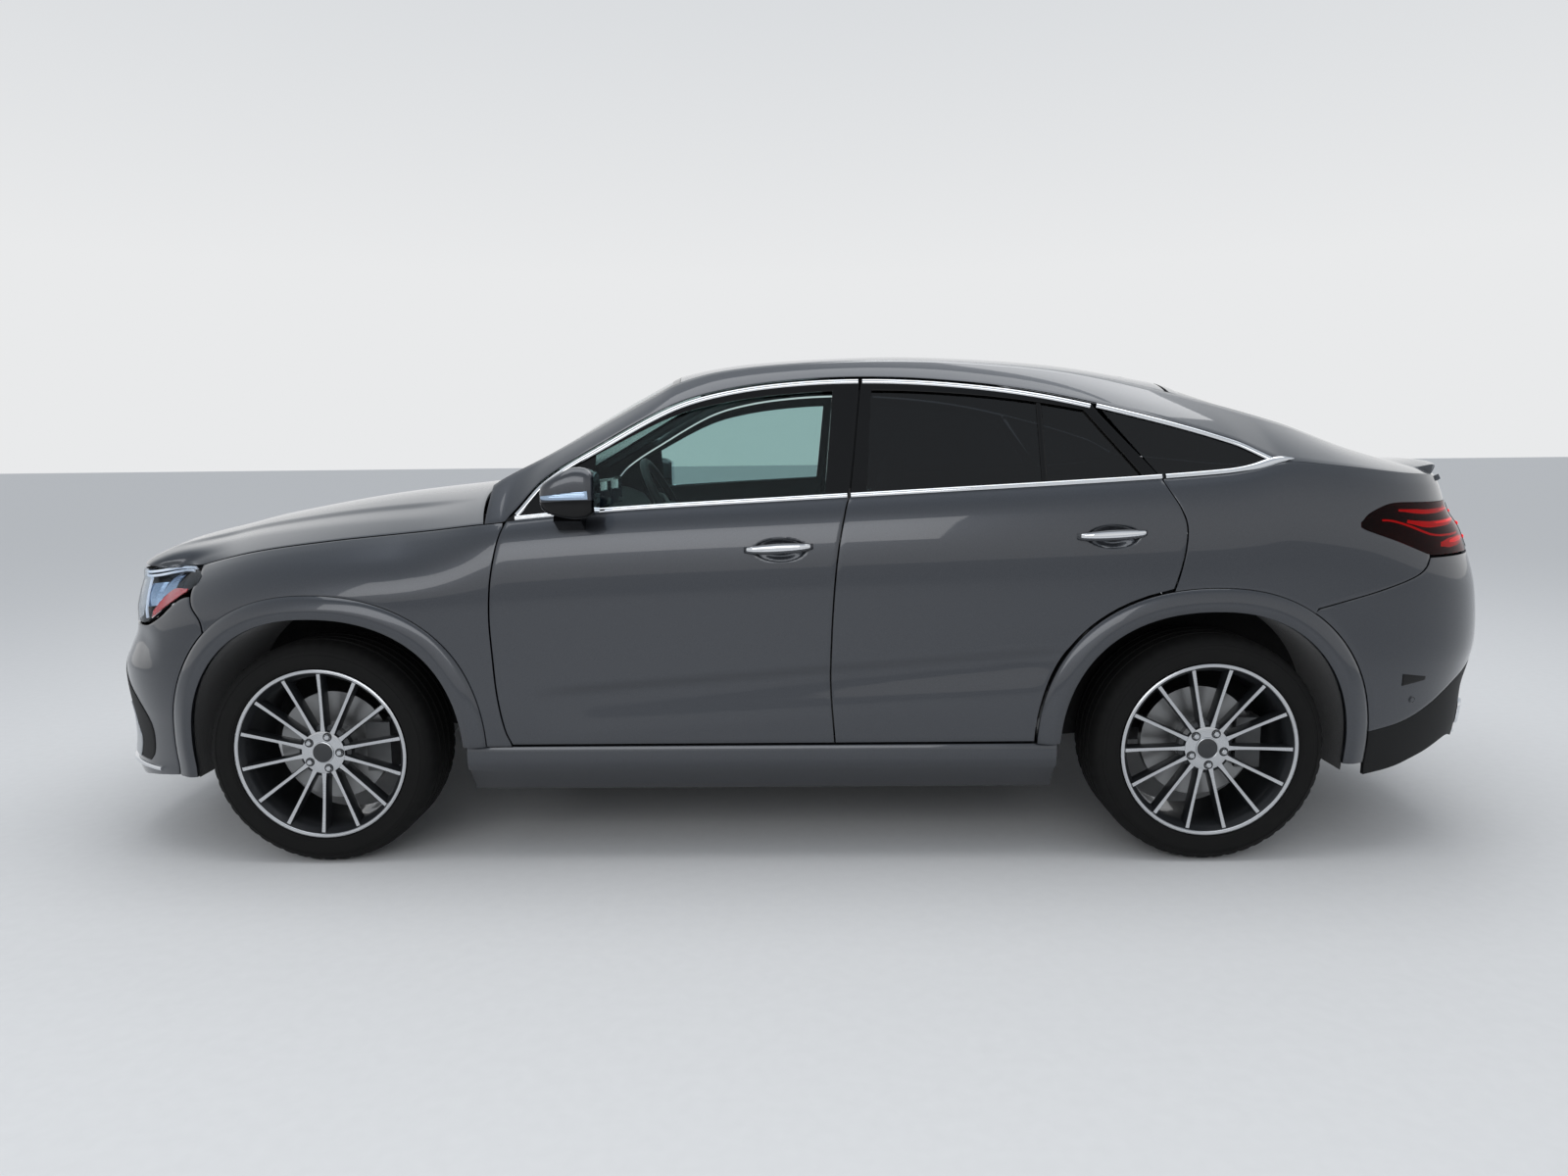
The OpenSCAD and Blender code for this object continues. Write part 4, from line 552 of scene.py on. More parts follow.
SILL_FRONT, SILL_REAR = -1073, 870
outer = HALF_WIDTH - 16
section = [(-770, 235), (-770, SILL_TOP), (-outer + 14, SILL_TOP), (-outer + 6, SILL_TOP - 3),
           (-outer + 2, SILL_TOP - 10), (-outer, SILL_TOP - 24), (-outer + 1, SILL_TOP - 50), (-outer + 6, SKIRT + 14),
           (-outer + 14, SKIRT + 3), (-outer + 30, SKIRT), (-outer + 90, 235)]
Surface().bar([[(x, y, z) for y, z in section] for x in np.linspace(SILL_FRONT, SILL_REAR, 12)]).both().piece(
    "sill_boards", [paint], "body", ["sills"], "body_paint", edge=3)


# B-pillars: the posts between the doors.
# Pressed steel welded into the frame, behind gloss black moulded covers.
# Gloss black: deep piano finish with almost no texture, only a faint haze
gloss_black, tree, shader, place = finish("gloss_black_moulding", "#050506", 0.1, Specular_IOR_Level=0.3)
haze = add(tree, "TexNoise", {"Vector": place, "Scale": per_mm(60), "Detail": 2.0})
add(tree, "MapRange", {"Value": haze.outputs["Fac"], "To Min": 0.08, "To Max": 0.2}, shader.inputs["Roughness"])
dress(gloss_black, "b_pillars")


# Doors, two a side: pressed outer skins with a scallop above the sill and a cup behind each handle.
# They hang on their front edges; the window frame is gloss black and the lining soft black trim.
# Soft trim: fine-grained black moulding, pebbles drawn at 3 mm
soft_trim, tree, shader, place = finish("soft_trim", "#1C1C1E", 0.65)
pebble = add(tree, "TexVoronoi", {"Vector": place, "Scale": per_mm(3)})
add(tree, "Bump", {"Height": pebble.outputs["Distance"], "Strength": 0.25, "Distance": 0.0005},
    shader.inputs["Normal"])

DOOR_FRONT = [(412, -918), (465, -939), (581, -959), (712, -969), (825, -973), (937, -967), (1032, -953), (1108, -936),
              (1173, -910)]
DOOR_MIDDLE = [(412, 143), (606, 130), (767, 134), (927, 144), (1053, 158), (1178, 182), (1224, 195), (1610, 241)]
DOOR_REAR = [(915, 1226), (978, 1245), (1057, 1260), (1119, 1261), (1173, 1243), (1232, 1210), (1262, 1196)]
WINDOW_DIVIDER = [(1262, 1196), (1510, 992)]
DOOR_BOTTOM = SILL_TOP + 8
FRONT_BELT, REAR_BELT, REAR_TOP = 1150, 1240, 1540
FLARE = 76
ARCH_ROUNDNESS = 2.25
ARCH_TOP, ARCH_OUTER, ARCH_INNER = 80, 60, 108
HANDLES = {"front": (-35, 1047), "rear": (1024, 1080)}


def arch_side(axle, out, door_side, z, off):
    """Where the outline of a wheel opening stands at a height."""
    s = np.clip((z - TYRE_RADIUS) / (TYRE_RADIUS + off + ARCH_TOP), 0, 1) ** (ARCH_ROUNDNESS / 2)
    reach = TYRE_RADIUS + off + (ARCH_INNER if door_side else ARCH_OUTER)
    return axle + (-out if door_side else out) * reach * np.sqrt(np.maximum(0, 1 - s * s)) ** (2 / ARCH_ROUNDNESS)


def rear_edge_x(z):
    """Rear edge of the rear door: round the flare, up to the shoulder and along the window."""
    flare_z = 2 * TYRE_RADIUS + FLARE + ARCH_TOP
    low = np.minimum(curve(DOOR_REAR, flare_z), arch_side(REAR_AXLE, 1, True, z, FLARE + 7))
    return np.where(z > 1262, curve(WINDOW_DIVIDER, z), np.where(z > flare_z, curve(DOOR_REAR, z), low))


def door_x(f, z, front):
    """Place along a door, by share from its front edge to its rear one."""
    if front:
        return lerp(curve(DOOR_FRONT, z) + GAP / 2, curve(DOOR_MIDDLE, z) - GAP / 2, f)
    return lerp(curve(DOOR_MIDDLE, z) + GAP / 2, rear_edge_x(z) - GAP / 2, f)


def door_top(x):
    """Height of a door's upper edge, a gap below the rail and square to it."""
    slope = (window_top(x + 20) - window_top(x - 20)) / 40
    return window_top(x) - (GAP + 2) * np.sqrt(1 + slope * slope)


def door_skin(f, h, front, inset=0.0):
    """Points of a left door: f to the rear, h from the sill (0) to the shoulder (1) and the top (2)."""
    f, h = np.broadcast_arrays(f, h)
    under = h <= 1
    # The edges' places are first taken at guessed heights, then at the true ones
    if front:
        x = door_x(f, lerp(DOOR_BOTTOM, FRONT_BELT, np.minimum(h, 1)), True)
    else:
        x = door_x(f, np.where(under, lerp(DOOR_BOTTOM, REAR_BELT, h), lerp(REAR_BELT, REAR_TOP, h - 1)), False)
    z = np.where(under, lerp(DOOR_BOTTOM, shoulder(x), h), lerp(shoulder(x), door_top(x), h - 1))
    if front:
        x = np.where(under, door_x(f, z, True), lerp(door_x(f, shoulder(x), True), door_x(f, z, True), f * f))
    else:
        x = door_x(f, z, False)
    z = np.where(under, lerp(DOOR_BOTTOM, shoulder(x), h), lerp(shoulder(x), door_top(x), h - 1))
    return left(x, z, inset)


def scallop(p):
    """How far a door's skin lies in under the crease that rises to the rear."""
    x = p[..., 0]
    down = 620 + (x + 640) * 0.075 - p[..., 2]
    return 14 * ease(down / 30) * (1 - ease((down - 40) / 140)) * ease((x + 930) / 300) * ease((1010 - x) / 250)


def cup(p, place):
    """How far the skin lies in behind a handle."""
    d = np.sqrt(((p[..., 0] - place[0] - 6) / 90) ** 2 + ((p[..., 2] - place[1] - 4) / 40) ** 2)
    return 22 * ease((1 - d) / 0.6)


WINDOW_COLUMNS = {"front": (0.16, 0.93), "rear": (0.05, 0.95)}
WINDOW_ROWS = (1.03, 1.9)


def even(low, high, count, *stops):
    """Even steps with a few places that must be met."""
    return np.unique(np.concatenate([np.linspace(low, high, count), stops]))


def between(steps):
    """The middles of the cells between steps."""
    return (steps[1:] + steps[:-1]) / 2


for end in ("front", "rear"):
    # The steps are finer round the handle's cup
    fs = even(0, 1, 72, *WINDOW_COLUMNS[end], *np.linspace(0.66, 0.98, 50))
    hs = even(0, 2, 96, 1, *WINDOW_ROWS, *np.linspace(0.74, 0.93, 34))
    skin = door_skin(fs[None], hs[:, None], end == "front")
    skin[..., 1] += scallop(skin) + cup(skin, HANDLES[end])
    depth = lerp(90, 34, ease((skin[..., 2] - shoulder(skin[..., 0]) + 90) / 120))
    mid_f, mid_h = between(fs)[None], between(hs)[:, None]
    first, last = WINDOW_COLUMNS[end]
    pane = (mid_f > first) & (mid_f < last) & (mid_h > WINDOW_ROWS[0]) & (mid_h < WINDOW_ROWS[1])
    window_frame = np.broadcast_to(mid_h > 1, pane.shape).astype(int)
    door = shell(skin, inward(skin, depth, True), ~pane, window_frame, lining=2)
    for side, sign in SIDE_SIGNS:
        door.on(sign).piece(
            f"{end}_{side}_door_panel", [paint, gloss_black, soft_trim, soft_trim], f"{end}_{side}_door_body",
            [f"{end}_{side}_door"], "body_paint", edge=2.5)


# Front fenders between bonnet, headlamp, flare and door.
# Pressed steel skins bolted to the front frame, painted with the body.
def arch_point(axle, out, degrees, off):
    """Outline of a wheel opening by an angle from the bumper (0) over the top to the door (180)."""
    c, s = np.cos(np.radians(degrees)), np.sin(np.radians(degrees))
    reach = TYRE_RADIUS + off + np.where(c > 0, ARCH_OUTER, ARCH_INNER)
    return (axle + out * np.sign(c) * reach * np.abs(c) ** (2 / ARCH_ROUNDNESS),
            TYRE_RADIUS + (TYRE_RADIUS + off + ARCH_TOP) * np.maximum(0, s) ** (2 / ARCH_ROUNDNESS))


FENDER_FOOT = SILL_TOP + SEAT
FENDER_FRONT, FENDER_REAR, FENDER_END = -2006, -925.0, 168
FENDER_NOSE_BOW = [(0, 0), (0.2, 3), (0.42, -19), (0.65, -16), (0.82, 10), (0.93, 4), (1, 0)]


def fender_inner(k):
    """The lower edge: round the flare to row 10, then down to the sill at 11."""
    x, z = arch_point(FRONT_AXLE, -1, np.minimum(48 + 12 * k, FENDER_END), FLARE + SEAT)
    low = lerp(arch_point(FRONT_AXLE, -1, FENDER_END, FLARE + SEAT)[1], FENDER_FOOT, np.clip(k - 10, 0, 1))
    return np.where(k <= 10, x, arch_side(FRONT_AXLE, -1, True, low, FLARE + SEAT)), np.where(k <= 10, z, low)


def fender_outer(k):
    """The upper edge: along the bonnet to row 6, then down the door's front edge."""
    x = lerp(FENDER_FRONT, FENDER_REAR - GAP, np.minimum(k / 6, 1))
    low = lerp(shoulder(FENDER_REAR) - GAP / 2, FENDER_FOOT, np.clip((k - 6) / 5, 0, 1))
    return np.where(k <= 6, x, curve(DOOR_FRONT, low) - GAP / 2), np.where(k <= 6, shoulder(x) - GAP / 2, low)


ks, rs = even(0, 11, 111)[None], even(0, 1, 34)[:, None]
(x0, z0), (x1, z1) = fender_inner(ks), fender_outer(ks)
nose = curve(FENDER_NOSE_BOW, rs) * np.maximum(0, 1 - ks)
fender = left(lerp(x0, x1, rs) + nose, lerp(z0, z1, rs))
shell(fender, inward(fender, 12)).both().piece("front_fenders", [paint], "body", ["fenders"], "body_paint", edge=2.5)


# Flares: the lips round the wheel openings.
# Moulded, clipped over the edge of the skin and painted with the body.
FLARE_OFFS = [(0, FLARE), (1, FLARE - 14), (2, FLARE * 0.35), (3, 0)]
FLARE_OUTS = [(0, 3), (1, 12), (2, 20), (3, 10)]
flares = Surface()
for axle, out in ((FRONT_AXLE, -1), (REAR_AXLE, 1)):
    ks = np.linspace(0, 3, 13)[:, None]
    off, stand = curve(FLARE_OFFS, ks), curve(FLARE_OUTS, ks)
    arc = np.linspace(0, 168, 70)[None]
    x, z = arch_point(axle, out, arc, off)
    foot = lerp(z[:, -1:], SILL_TOP + SEAT, np.linspace(0.2, 1, 5)[None])
    x = np.hstack([np.repeat(x[:, :1], 3, 1), x, arch_side(axle, out, True, foot, off)])
    # The front lip reaches down to the bumper's foot
    low = SKIRT + (8 if out > 0 else -28)
    z = np.hstack([np.broadcast_to(np.linspace(low, SKIRT + 42, 3), (13, 3)), z, foot])
    lip = left(x, z)
    lip[..., 1] -= stand
    flares.join(shell(lip, inward(lip, 22.0, True)))
flares.both().piece("arch_lips", [paint], "body", ["arch_flares"], "body_paint", edge=2)


# Quarter panels from the rear doors round to the tailgate, with the lamp apertures left open.
# Pressed steel welded to the roof rail, painted with the body.
LAMP_LOW = [(1228, 1050), (1700, 1076), (1814, 1104), (1827, 1097), (1871, 1081), (1944, 1056), (2022, 1026),
            (2064, 1011), (2117, 1003), (2240, 998), (2330, 998)]
LAMP_HIGH = [(1228, 1112), (1700, 1116), (1814, 1122), (1837, 1144), (1874, 1163), (1913, 1176), (1953, 1180),
             (2017, 1179), (2094, 1177), (2330, 1175)]
BUMPER_SIDE = [(1690, 846), (1790, 873), (1883, 898), (2005, 938), (2050, 966), (2066, 998)]
QUARTER_COLUMNS = [1228, 1295, 1350, 1420, 1510, 1580, 1640, 1703, 1760, 1814, 1870, 1960, 2066, 2140, 2196, 2300]
# The columns where the lamp's tip and the bumper's corner stand
TIP_COLUMN, BUMPER_COLUMN, LAST_COLUMN = 9, 12, 15
TAILGATE_HALF = 690


def tail_place(y, z):
    """Place of the rounded tail at a half width."""
    return REAR_TAPER + (tail_x(z) - REAR_TAPER) * plan_share(y / (HALF_WIDTH - tuck(REAR_TAPER + 900, z)))


def flare_top(x, axle, off):
    """Height of a wheel opening's outline."""
    reach = TYRE_RADIUS + off + np.where(x > axle, ARCH_OUTER, ARCH_INNER)
    c = np.minimum(1, np.abs((x - axle) / reach)) ** (ARCH_ROUNDNESS / 2)
    return TYRE_RADIUS + (TYRE_RADIUS + off + ARCH_TOP) * np.sqrt(np.maximum(0, 1 - c * c)) ** (2 / ARCH_ROUNDNESS)


def quarter_z(x, k):
    """Height of a row: 0 lower edge, 2 and 3 the lamp's lower and upper edge, 6 the shoulder."""
    foot = np.maximum(flare_top(x, REAR_AXLE, FLARE + 1.6), np.where(x > 1680, curve(BUMPER_SIDE, x) + GAP / 2, 0))
    low = np.maximum(foot + 6, curve(LAMP_LOW, x))
    high = np.maximum(low + 16, curve(LAMP_HIGH, x))
    above = np.where(k <= 3, lerp(low, high, k - 2), lerp(high, shoulder(x) - SEAT, (k - 3) / 3))
    return np.where(k <= 2, lerp(foot, low, k / 2), above)


def quarter(c, k):
    """Points of the left quarter by column and row."""
    c, k = np.broadcast_arrays(c, k)
    column = np.interp(c, range(LAST_COLUMN + 1), QUARTER_COLUMNS)
    z = quarter_z(np.maximum(column, QUARTER_COLUMNS[1]), k)
    door = np.maximum(rear_edge_x(z), curve(DOOR_REAR, z)) + GAP / 2
    x = np.where(c < 1, lerp(door, QUARTER_COLUMNS[1], c), column)
    before = LAST_COLUMN - 1
    x = np.where(c > before, lerp(QUARTER_COLUMNS[before], tail_place(TAILGATE_HALF + GAP, z), c - before), x)
    return left(x, quarter_z(x, k))


cs, ks = even(0, LAST_COLUMN, 121), even(0, 6, 43)
skin = quarter(cs[None], ks[:, None])
mid_c, mid_k = between(cs)[None], between(ks)[:, None]
aperture = (mid_c > TIP_COLUMN) & (mid_k > 2) & (mid_k < 3) | (mid_c > BUMPER_COLUMN) & (mid_k < 2)
shell(skin, inward(skin, 12), ~aperture).both().piece(
    "rear_quarters", [paint], "body", ["quarter_panels"], "body_paint", edge=2)


# Roof skin round the glass panel, from the windshield to the tailgate.
# Pressed steel, brazed to the rails and painted with the body.
ROOF_CROWN = [(-422, 1646), (-278, 1675), (-144, 1693), (132, 1708), (446, 1712), (956, 1678), (1349, 1612)]
ROOF_FRONT, ROOF_REAR = -372, 1297
ROOF_GLASS = (-240, 1180, 0.72)
# How far its front and rear edges bow along the car
HEADER_BOW, TAIL_BOW = 34, 45


def roof_skin(x, v, drop=0.0):
    """Points of the roof: x along the edge, v across from side to side."""
    x, v = np.broadcast_arrays(x, v)
    bow = TAIL_BOW * (x - ROOF_FRONT) / (ROOF_REAR - ROOF_FRONT)
    along = x + (bow - HEADER_BOW * (1 - bow / TAIL_BOW)) * (1 - v * v)
    z = lerp(curve(ROOF_CROWN, along), curve(ROOF_EDGE, x), np.abs(v) ** 2.2)
    return np.stack([along, v * (curve(ROOF_EDGE_WIDTH, x) - 1.2), z - drop], -1)


xs, vs = even(ROOF_FRONT, ROOF_REAR, 70, *ROOF_GLASS[:2]), even(-1, 1, 60, -ROOF_GLASS[2], ROOF_GLASS[2])
skin = roof_skin(xs[:, None], vs[None])
mid_x, mid_v = between(xs)[:, None], between(vs)[None]
opening = (mid_x > ROOF_GLASS[0]) & (mid_x < ROOF_GLASS[1]) & (np.abs(mid_v) < ROOF_GLASS[2])
shell(skin, skin - [0, 0, 24], ~opening).piece("roof_skin", [paint], "body", ["roof"], "body_paint", edge=3)


# Bonnet with a raised middle between two creases.
# Pressed aluminium, painted with the body and hinged at the cowl.
HOOD_CROWN = [(-2385, 985), (-2345, 1030), (-2280, 1064), (-2180, 1094), (-2000, 1138), (-1600, 1206), (-1200, 1250),
              (-1090, 1258)]
HOOD_REAR, HOOD_BOW, HOOD_LIP = -1000, 130, 997.0
# How far the corners of the nose stand out beyond its even plan curve, by height
NOSE_CORNER = [(650, 0), (700, -14), (740, -18), (780, -10), (820, 9), (850, 30), (880, 44), (920, 68), (950, 94),
               (1000, 90)]


def front_skin(a, z, inset=0.0):
    """Points of the skin round the nose by an angle from the middle (0) to the side (90 degrees)."""
    a, z = np.broadcast_arrays(np.asarray(a, float), np.asarray(z, float))
    c = np.cos(np.radians(a)) ** (2 / ROUNDNESS)
    s = np.abs(np.sin(np.radians(a))) ** (2 / ROUNDNESS)
    x = FRONT_TAPER - (FRONT_TAPER - nose_x(z) - inset) * c
    corner = curve(NOSE_CORNER, z) * ease((np.abs(a) - 21) / 12) * ease((-2105 - x) / 130)
    return np.stack([x, np.sign(a) * ((HALF_WIDTH - tuck(x, z) - inset) * s + corner), z], -1)


def front_angle(x, z):
    """Angle round the nose at a place along the side."""
    share = np.clip((FRONT_TAPER - x) / (FRONT_TAPER - nose_x(z)), 0, 1)
    return np.degrees(np.arccos(share ** (ROUNDNESS / 2)))


HOOD_ANGLE = float(front_angle(-2052.0, 994.0))


def hood_skin(u, v):
    """Points of the bonnet: u from the nose to the cowl, v across."""
    u, v = np.broadcast_arrays(u, v)
    # Beside the grille the lip drops on to the lamps
    low = 9 * ease((np.abs(v) * HOOD_ANGLE - 21) / 5) * (1 - ease((np.abs(v) - 0.8) / 0.2))
    lip = front_skin(v * HOOD_ANGLE, HOOD_LIP - low, GAP / 2)
    corner, tip = front_skin(HOOD_ANGLE, HOOD_LIP, GAP / 2), front_skin(0.0, HOOD_LIP, GAP / 2)
    x = lerp(lip[..., 0], HOOD_REAR - HOOD_BOW * (1 - v * v), u)
    edge_x, middle_x = lerp(corner[0], HOOD_REAR, u), lerp(tip[0], HOOD_REAR - HOOD_BOW, u)
    y = lerp(lip[..., 1], v * (side_y(edge_x, shoulder(edge_x)) - GAP), ease(u * 5))
    z = lerp(curve(HOOD_CROWN, middle_x), np.maximum(shoulder(edge_x), HOOD_LIP), np.abs(v) ** 2.3)
    # The creases stand where the flanks fall away, and fade towards the nose
    crease = lerp(0.5, 0.66, u)
    fall = ease((np.abs(v) - crease) / 0.06) * (1 - ease((np.abs(v) - crease - 0.06) / 0.2))
    return np.stack([x, y, z - 7 * fall * ease(u * 6) * ease((1 - u) * 4) - low * (1 - ease(u * 12))], -1)


us, vs = even(0, 1, 70)[:, None], even(-1, 1, 110)[None]
skin = hood_skin(us, vs)
under = skin - [0, 0, 16]
under[0] += [20, 0, 8]
under[:, 0] += [0, 14, 0]
under[:, -1] -= [0, 14, 0]
shell(skin, under).piece("bonnet", [paint], "hood_body", ["hood"], "body_paint", edge=3)


# Tailgate with the roof spoiler's lip and the rear window opening, hinged at the roof.
# Pressed aluminium with a moulded spoiler, painted with the body.
# Upper rows: along, up, half width, side setback, side drop, inner along, inner up
TAILGATE_ROWS = np.array([
    [1352, 1611, 606, 40, 62, 14, -36], [1397, 1598, 604, 42, 62, -2, -38], [1560, 1541, 595, 42, 54, -12, -38],
    [1760, 1468, 584, 42, 48, -12, -38], [1950, 1398, 572, 40, 46, -12, -38], [2110, 1343, 562, 40, 38, -12, -38],
    [2215, 1321, 562, 50, 40, -12, -40], [2300, 1311, 566, 92, 28, -30, -38], [2376, 1304, 610, 140, 14, -78, -26],
    [2362, 1266, 612, 140, 16, -72, -20]])
TAILGATE_FACE = [1252, 1205, 1150, 1080, 1010, 920, 842]
# The plate's well: half width, foot, top and depth
PLATE_WELL = (270, 905, 1010, 14)
REAR_WINDOW_ROWS, REAR_WINDOW_SHARE = (1, 5), 0.93


def rear_skin(a, z, inset=0.0):
    """Points of the skin round the tail by an angle from the middle (0) to the side (90 degrees)."""
    a, z = np.broadcast_arrays(np.asarray(a, float), np.asarray(z, float))
    c = np.cos(np.radians(a)) ** (2 / ROUNDNESS)
    s = np.abs(np.sin(np.radians(a))) ** (2 / ROUNDNESS)
    x = REAR_TAPER + (tail_x(z) - inset - REAR_TAPER) * c
    return np.stack([x, np.sign(a) * (HALF_WIDTH - tuck(x, z) - inset) * s, z], -1)


def tail_angle(y, z):
    """Angle round the tail at a half width."""
    share = np.clip(np.abs(y) / (HALF_WIDTH - tuck(REAR_TAPER + 900, z)), 0, 1)
    return np.degrees(np.arcsin(share ** (ROUNDNESS / 2)))


def tailgate_upper(j, v, deep=0.0):
    """Points of the sloping part, by row and across; deep moves to the inner face."""
    r = [curve(list(enumerate(TAILGATE_ROWS[:, i])), j) for i in range(7)]
    j, v = np.broadcast_arrays(j, v)
    pinch = np.where(r[0] > 2250, 1 - 0.85 * v ** 4, 1)
    return np.stack([r[0] - r[3] * np.abs(v) ** 2.4 + deep * r[5] * pinch, v * r[2],
                     r[1] - r[4] * np.abs(v) ** 2.2 + deep * r[6]], -1)


def tailgate_lower(j, v, deep=0.0):
    """Points of the upright part below the spoiler."""
    h = curve(list(enumerate(TAILGATE_FACE)), j)
    h, v = np.broadcast_arrays(h, v)
    z = h - np.where(h > 1240, 24 * v * v, 0)
    y = v * lerp(TAILGATE_HALF, 655, ease((h - 1180) / 70))
    x = rear_skin(tail_angle(y, z), z)[..., 0] - deep * 50 * np.where(h > 1100, 1 - 0.6 * v ** 4, 1)
    return np.stack([x, y, z], -1)


vs = even(-1, 1, 91, -REAR_WINDOW_SHARE, REAR_WINDOW_SHARE)
upper, lower = even(0, 9, 73)[:, None], even(0, 6, 49)[:, None]
outer = np.vstack([tailgate_upper(upper, vs[None]), tailgate_lower(lower, vs[None])])
inner = np.vstack([tailgate_upper(upper, vs[None], 1.0), tailgate_lower(lower, vs[None], 1.0)])
# The number plate sits in a shallow well of the upright part
half, foot, top, depth = PLATE_WELL
well = (ease((half + 24 - np.abs(outer[..., 1])) / 24) * ease((outer[..., 2] - foot + 50) / 20)
        * ease((top + 45 - outer[..., 2]) / 20))
outer[..., 0] -= depth * well
mid_j = np.concatenate([between(upper), [[9.5]], 10 + between(lower)])
first, last = REAR_WINDOW_ROWS
opening = (mid_j > first) & (mid_j < last) & (np.abs(between(vs)[None]) < REAR_WINDOW_SHARE)
shell(outer, inner, ~opening, 0, lining=1).piece(
    "tailgate_shell", [paint, soft_trim], "tailgate_body", ["tailgate"], "body_paint", edge=3)


# Wheel-arch liners: tubs that close the view inwards round each wheel.
# Moulded from needle-felt and clipped inside the openings.
# Needle-felt: matt black fibres, drawn at 5 mm because real ones are too fine to show
felt, tree, shader, place = finish("needle_felt", "#0E0E0F", 0.95, Sheen_Weight=0.3)
fibre = add(tree, "TexNoise", {"Vector": place, "Scale": per_mm(5), "Detail": 6.0})
add(tree, "Bump", {"Height": fibre.outputs["Fac"], "Strength": 0.6, "Distance": 0.002}, shader.inputs["Normal"])

# Lower ends at the front bumper, the rear bumper and the doors, and the radius left open round the hub
LINER_FEET = {-1: 286, 1: 300}
LINER_DOOR_FOOT = 340
LINER_HUB = 45
liners = Surface()
for axle, out, inner_y in ((FRONT_AXLE, -1, 478), (REAR_AXLE, 1, 648)):
    arc = np.linspace(0, 180, 61)
    x, z = arch_point(axle, out, arc, 4)
    x, z = np.concatenate([x[:1], x, x[-1:]]), np.concatenate([[LINER_FEET[out]], z, [LINER_DOOR_FOOT]])
    edge = left(x, z, 8)
    middle = np.stack([x, np.full_like(x, -inner_y - 30), z], -1)
    deep = np.stack([x, np.full_like(x, -inner_y), z], -1)
    angle = np.radians(np.concatenate([arc[:1], arc, arc[-1:]]))
    hub = np.stack([axle + out * LINER_HUB * np.cos(angle), np.full_like(x, -inner_y),
                    TYRE_RADIUS + LINER_HUB * np.sin(angle)], -1)
    tub = np.stack([edge, lerp(edge, middle, 0.5), middle, deep, lerp(deep, hub, 0.5), hub])
    liners.grid(tub)
liners.both().piece("arch_liners", [felt], "body", ["wheel_liners"], "black_plastic")


# Front bumper: a moulded cover with a grille opening and a lower mouth.
# It is clipped to the front frame; its corners carry black air slots with a satin silver blade, and a bright lip below.
BUMPER_FOOT = [(0, 232), (0.5, 236), (0.8, 270), (1, 290)]
BUMPER_TOP = [(0, 792), (0.36, 792), (0.68, 800), (0.76, 820), (0.86, 862), (0.95, 898), (1, 908)]
COVER_DEPTH = 14
GRILLE_SHARE, MOUTH_SHARE = 0.36, 0.40
GRILLE_FOOT, MOUTH_LOW, MOUTH_HIGH = 0.72, 0.20, 0.50


def bumper_end(z):
    """Where the cover ends: along the fender's nose, and below it along the flare."""
    (x0, z0), (x1, z1) = fender_inner(0.0), fender_outer(0.0)
    r = (z - z0) / (z1 - z0)
    fender_x = lerp(x0, x1, r) + curve(FENDER_NOSE_BOW, r)
    return np.where(r > 0, fender_x, arch_side(FRONT_AXLE, -1, False, z, FLARE)) - GAP - 1


def bumper_skin(f, t):
    """Points of the cover: f from side to side, t upwards."""
    f, t = np.broadcast_arrays(f, t)
    z = lerp(curve(BUMPER_FOOT, np.abs(f)), curve(BUMPER_TOP, np.abs(f)) - GAP / 2, t)
    return front_skin(f * front_angle(bumper_end(z), z), z)


fs = even(-1, 1, 150, -GRILLE_SHARE, GRILLE_SHARE, -MOUTH_SHARE, MOUTH_SHARE)
ts = even(0, 1, 60, GRILLE_FOOT, MOUTH_LOW, MOUTH_HIGH)
skin = bumper_skin(fs[None], ts[:, None])
mid_f, mid_t = np.abs(between(fs))[None], between(ts)[:, None]
grille_opening = (mid_t > GRILLE_FOOT) & (mid_f < GRILLE_SHARE)
mouth = (mid_t > MOUTH_LOW) & (mid_t < MOUTH_HIGH) & (mid_f < MOUTH_SHARE)
shell(skin, inward(skin, COVER_DEPTH), ~(grille_opening | mouth)).piece(
    "front_bumper_cover", [paint], "body", ["front_bumper"], "body_paint", edge=3)

# Grained plastic: matt black with a moulded leather grain of about 2 mm
grained, tree, shader, place = finish("grained_plastic", "#121314", 0.6, Specular_IOR_Level=0.25)
grain = add(tree, "TexVoronoi", {"Vector": place, "Scale": per_mm(2)})
add(tree, "Bump", {"Height": grain.outputs["Distance"], "Strength": 0.2, "Distance": 0.0004}, shader.inputs["Normal"])
# Satin silver: painted plastic with a soft metallic sheen
satin_silver, tree, shader, place = finish("satin_silver_paint", "#A9ADB1", 0.3, 0.85, Coat_Weight=0.3)
flake = add(tree, "TexNoise", {"Vector": place, "Scale": per_mm(2), "Detail": 2.0})
add(tree, "MapRange", {"Value": flake.outputs["Fac"], "To Min": 0.24, "To Max": 0.38}, shader.inputs["Roughness"])
# Chrome: bright plated trim with the faintest waviness, drawn at 30 mm
chrome, tree, shader, place = finish("plated_chrome", "#E3E5E8", 0.06, 1.0)
wave = add(tree, "TexNoise", {"Vector": place, "Scale": per_mm(30), "Detail": 1.0})
add(tree, "MapRange", {"Value": wave.outputs["Fac"], "To Min": 0.04, "To Max": 0.11}, shader.inputs["Roughness"])


